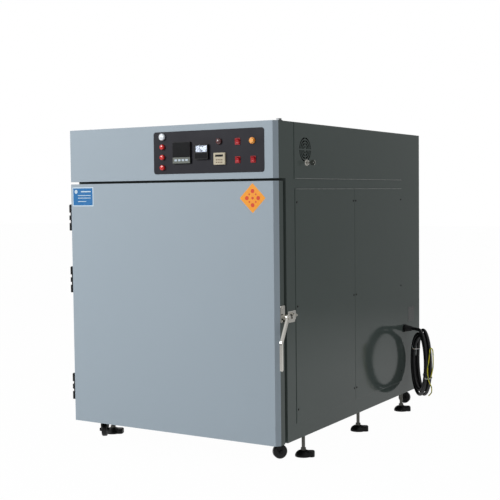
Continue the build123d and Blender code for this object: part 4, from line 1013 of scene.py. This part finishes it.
def makeDoorPlates(name, surface, outlines, lift):
    mesh = bmesh.new()
    for outline, a, b in outlines:
        place = Vector((a, frontY - lift, b))
        addPlate(mesh, outline, place, right, upward, 0.00025)
    finishPiece(name, mesh, surface, doorBody)


labelA, labelB = -0.481, 1.180
makeDoorPlates("labelBack", "labelPale", [(roundedOutline(0.127, 0.090, 0.003, 4), labelA, labelB)], 0.0)
fieldOutline = roundedOutline(0.117, 0.080, 0.002, 4)
makeDoorPlates("labelField", "labelBlue", [(fieldOutline, labelA, labelB)], 0.00025)
bands = [
    (roundedOutline(0.060, 0.005, 0.002, 4), labelA + 0.018, labelB + 0.024),
    (roundedOutline(0.078, 0.003, 0.0014, 4), labelA + 0.009, labelB + 0.006),
    (roundedOutline(0.078, 0.003, 0.0014, 4), labelA + 0.009, labelB - 0.006),
    (roundedOutline(0.050, 0.003, 0.0014, 4), labelA - 0.005, labelB - 0.022),
    (roundedOutline(0.018, 0.018, 0.0088, 6), labelA - 0.041, labelB + 0.024),
]
makeDoorPlates("labelBands", "labelPale", bands, 0.0005)
diamondA, diamondB = 0.4515, 1.167


def diamondOutline(half, corner):
    # A square on its corner, with slightly rounded points.
    square = roundedOutline(half * math.sqrt(2), half * math.sqrt(2), corner, 4)
    turn = math.sqrt(0.5)
    return [((a - b) * turn, (a + b) * turn) for a, b in square]


makeDoorPlates("diamondField", "labelOrange", [(diamondOutline(0.064, 0.004), diamondA, diamondB)], 0.0)
spots = []
roundSpots = ((0, 0.030, 0.009), (0, -0.030, 0.009), (-0.028, 0, 0.009), (0.028, 0, 0.009), (0, 0, 0.006))
for a, b, size in roundSpots:
    spots.append((roundedOutline(2 * size, 2 * size, size * 0.98, 6), diamondA + a, diamondB + b))
for a, b in ((-0.016, 0.016), (0.016, 0.016), (-0.016, -0.016), (0.016, -0.016)):
    spots.append((diamondOutline(0.005, 0.001), diamondA + a, diamondB + b))
makeDoorPlates("diamondSpots", "labelRed", spots, 0.00025)

# Bare rating plate on the rear cover, with blank ruled rows and four rivets
ratingSettings = {"centre": (0.6665, 0.5295), "size": (0.083, 0.079), "rows": 5}


def makeRatingPlate(settings):
    y, z = settings["centre"]
    width, height = settings["size"]
    along = Vector((0, 1, 0))
    place, _ = surfacePoint("rear_cover", (sideX + 0.1, y, z), (-1, 0, 0))
    mesh = bmesh.new()
    addPlate(mesh, roundedOutline(width, height, 0.003, 4), place, along, upward, 0.0006, 0.0002)
    finishPiece("ratingPlate", mesh, "plateDark", {"slot": "zinc"})
    mesh = bmesh.new()
    front = place + right * 0.0006
    for row in range(settings["rows"]):
        outline = roundedOutline(width * 0.78, 0.0012, 0.0004, 2)
        addPlate(mesh, outline, front + upward * (0.026 - 0.0125 * row), along, upward, 0.0001)
    for a in (-1, 1):
        for b in (-1, 1):
            spot = front + along * a * (width / 2 - 0.005) + upward * b * (height / 2 - 0.005)
            addLathe(mesh, [(0.0, 0.0011), (0.0012, 0.0008), (0.0018, 0.0)], spot, right, 16)
    finishPiece("ratingRules", mesh, "plateRule", {"slot": "zinc", "smooth": True})


makeRatingPlate(ratingSettings)
print("stage: labels and plate")


# Floor, light and background. Reflections see a surround that darkens towards its horizon.
surroundSettings = {
    "diffuseLevel": 0.40,
    "farLevel": 0.45,
    "floorNear": 2.2,
    "floorFar": 6.0,
    "skyHeight": 0.70,
    "floorGlow": 0.985,
}


def addMath(tree, operation, first, second):
    # A math node whose inputs are sockets or plain numbers; gives its output.
    node = tree.nodes.new("ShaderNodeMath")
    node.operation = operation
    for socket, value in zip(node.inputs, (first, second)):
        if isinstance(value, (int, float)):
            socket.default_value = value
        else:
            tree.links.new(value, socket)
    return node.outputs[0]


def addRange(tree, value, start, end, low, high):
    # A clamped range from start..end to low..high; gives its output.
    node = tree.nodes.new("ShaderNodeMapRange")
    tree.links.new(value, node.inputs["Value"])
    levels = {"From Min": start, "From Max": end, "To Min": low, "To Max": high}
    for label, level in levels.items():
        if isinstance(level, (int, float)):
            node.inputs[label].default_value = level
        else:
            tree.links.new(level, node.inputs[label])
    return node.outputs["Result"]


def makeFloor(settings):
    mesh = bmesh.new()
    bmesh.ops.create_grid(mesh, x_segments=1, y_segments=1, size=30)
    data = bpy.data.meshes.new("floor")
    mesh.to_mesh(data)
    mesh.free()
    floor = bpy.data.objects.new("floor", data)
    floor.location.z = -0.0005
    scene.collection.objects.link(floor)
    material = bpy.data.materials.new("floorPale")
    material.use_nodes = True
    tree = material.node_tree
    tree.nodes.clear()
    output = tree.nodes.new("ShaderNodeOutputMaterial")
    diffuse = tree.nodes.new("ShaderNodeBsdfDiffuse")
    diffuse.inputs["Color"].default_value = (0.9, 0.9, 0.9, 1)
    glow = tree.nodes.new("ShaderNodeEmission")
    path = tree.nodes.new("ShaderNodeLightPath")
    place = tree.nodes.new("ShaderNodeNewGeometry")
    distance = tree.nodes.new("ShaderNodeVectorMath")
    distance.operation = "LENGTH"
    tree.links.new(place.outputs["Position"], distance.inputs[0])
    reach = distance.outputs["Value"]
    near, far = settings["floorNear"], settings["floorFar"]
    reflected = addRange(tree, reach, near, far, 1.0, settings["farLevel"])
    direct = addMath(tree, "MAXIMUM", path.outputs["Is Camera Ray"], path.outputs["Is Transmission Ray"])
    tree.links.new(addMath(tree, "MAXIMUM", direct, reflected), glow.inputs["Strength"])
    seen = addMath(tree, "MAXIMUM", direct, path.outputs["Is Glossy Ray"])
    share = addMath(tree, "MULTIPLY", seen, settings["floorGlow"])
    mix = tree.nodes.new("ShaderNodeMixShader")
    tree.links.new(share, mix.inputs["Fac"])
    tree.links.new(diffuse.outputs[0], mix.inputs[1])
    tree.links.new(glow.outputs[0], mix.inputs[2])
    tree.links.new(mix.outputs[0], output.inputs["Surface"])
    data.materials.append(material)


def makeWorld(settings):
    world = bpy.data.worlds.new("studio")
    scene.world = world
    world.use_nodes = True
    tree = world.node_tree
    background = tree.nodes["Background"]
    background.inputs["Color"].default_value = (1, 1, 1, 1)
    path = tree.nodes.new("ShaderNodeLightPath")
    where = tree.nodes.new("ShaderNodeTexCoord")
    parts = tree.nodes.new("ShaderNodeSeparateXYZ")
    tree.links.new(where.outputs["Generated"], parts.inputs[0])
    height = addMath(tree, "ABSOLUTE", parts.outputs["Z"], 0.0)
    reflected = addRange(tree, height, 0.0, settings["skyHeight"], settings["farLevel"], 1.0)
    unseen = addRange(tree, path.outputs["Is Glossy Ray"], 0.0, 1.0, settings["diffuseLevel"], reflected)
    direct = addMath(tree, "MAXIMUM", path.outputs["Is Camera Ray"], path.outputs["Is Transmission Ray"])
    tree.links.new(addRange(tree, direct, 0.0, 1.0, unseen, 1.0), background.inputs["Strength"])


def makeLamp(name, settings):
    data = bpy.data.lights.new(name, "AREA")
    data.shape = "RECTANGLE"
    data.size, data.size_y = settings["size"]
    data.energy = settings["energy"]
    data.color = settings.get("colour", (1, 1, 1))
    lamp = bpy.data.objects.new(name, data)
    place = Vector(settings["place"])
    aim = Vector(settings["aim"]) - place
    lamp.matrix_world = Matrix.Translation(place) @ aim.to_track_quat("-Z", "Y").to_matrix().to_4x4()
    scene.collection.objects.link(lamp)


makeFloor(surroundSettings)
makeWorld(surroundSettings)
lampPlaces = {
    "keyLight": {"place": (-2.9, -5.6, 3.2), "aim": (0, 0, 0.8), "size": (3.0, 2.4), "energy": 225},
    }
for name, settings in lampPlaces.items():
    makeLamp(name, settings)
scene.view_settings.view_transform = "Standard"
print("stage: floor and light")
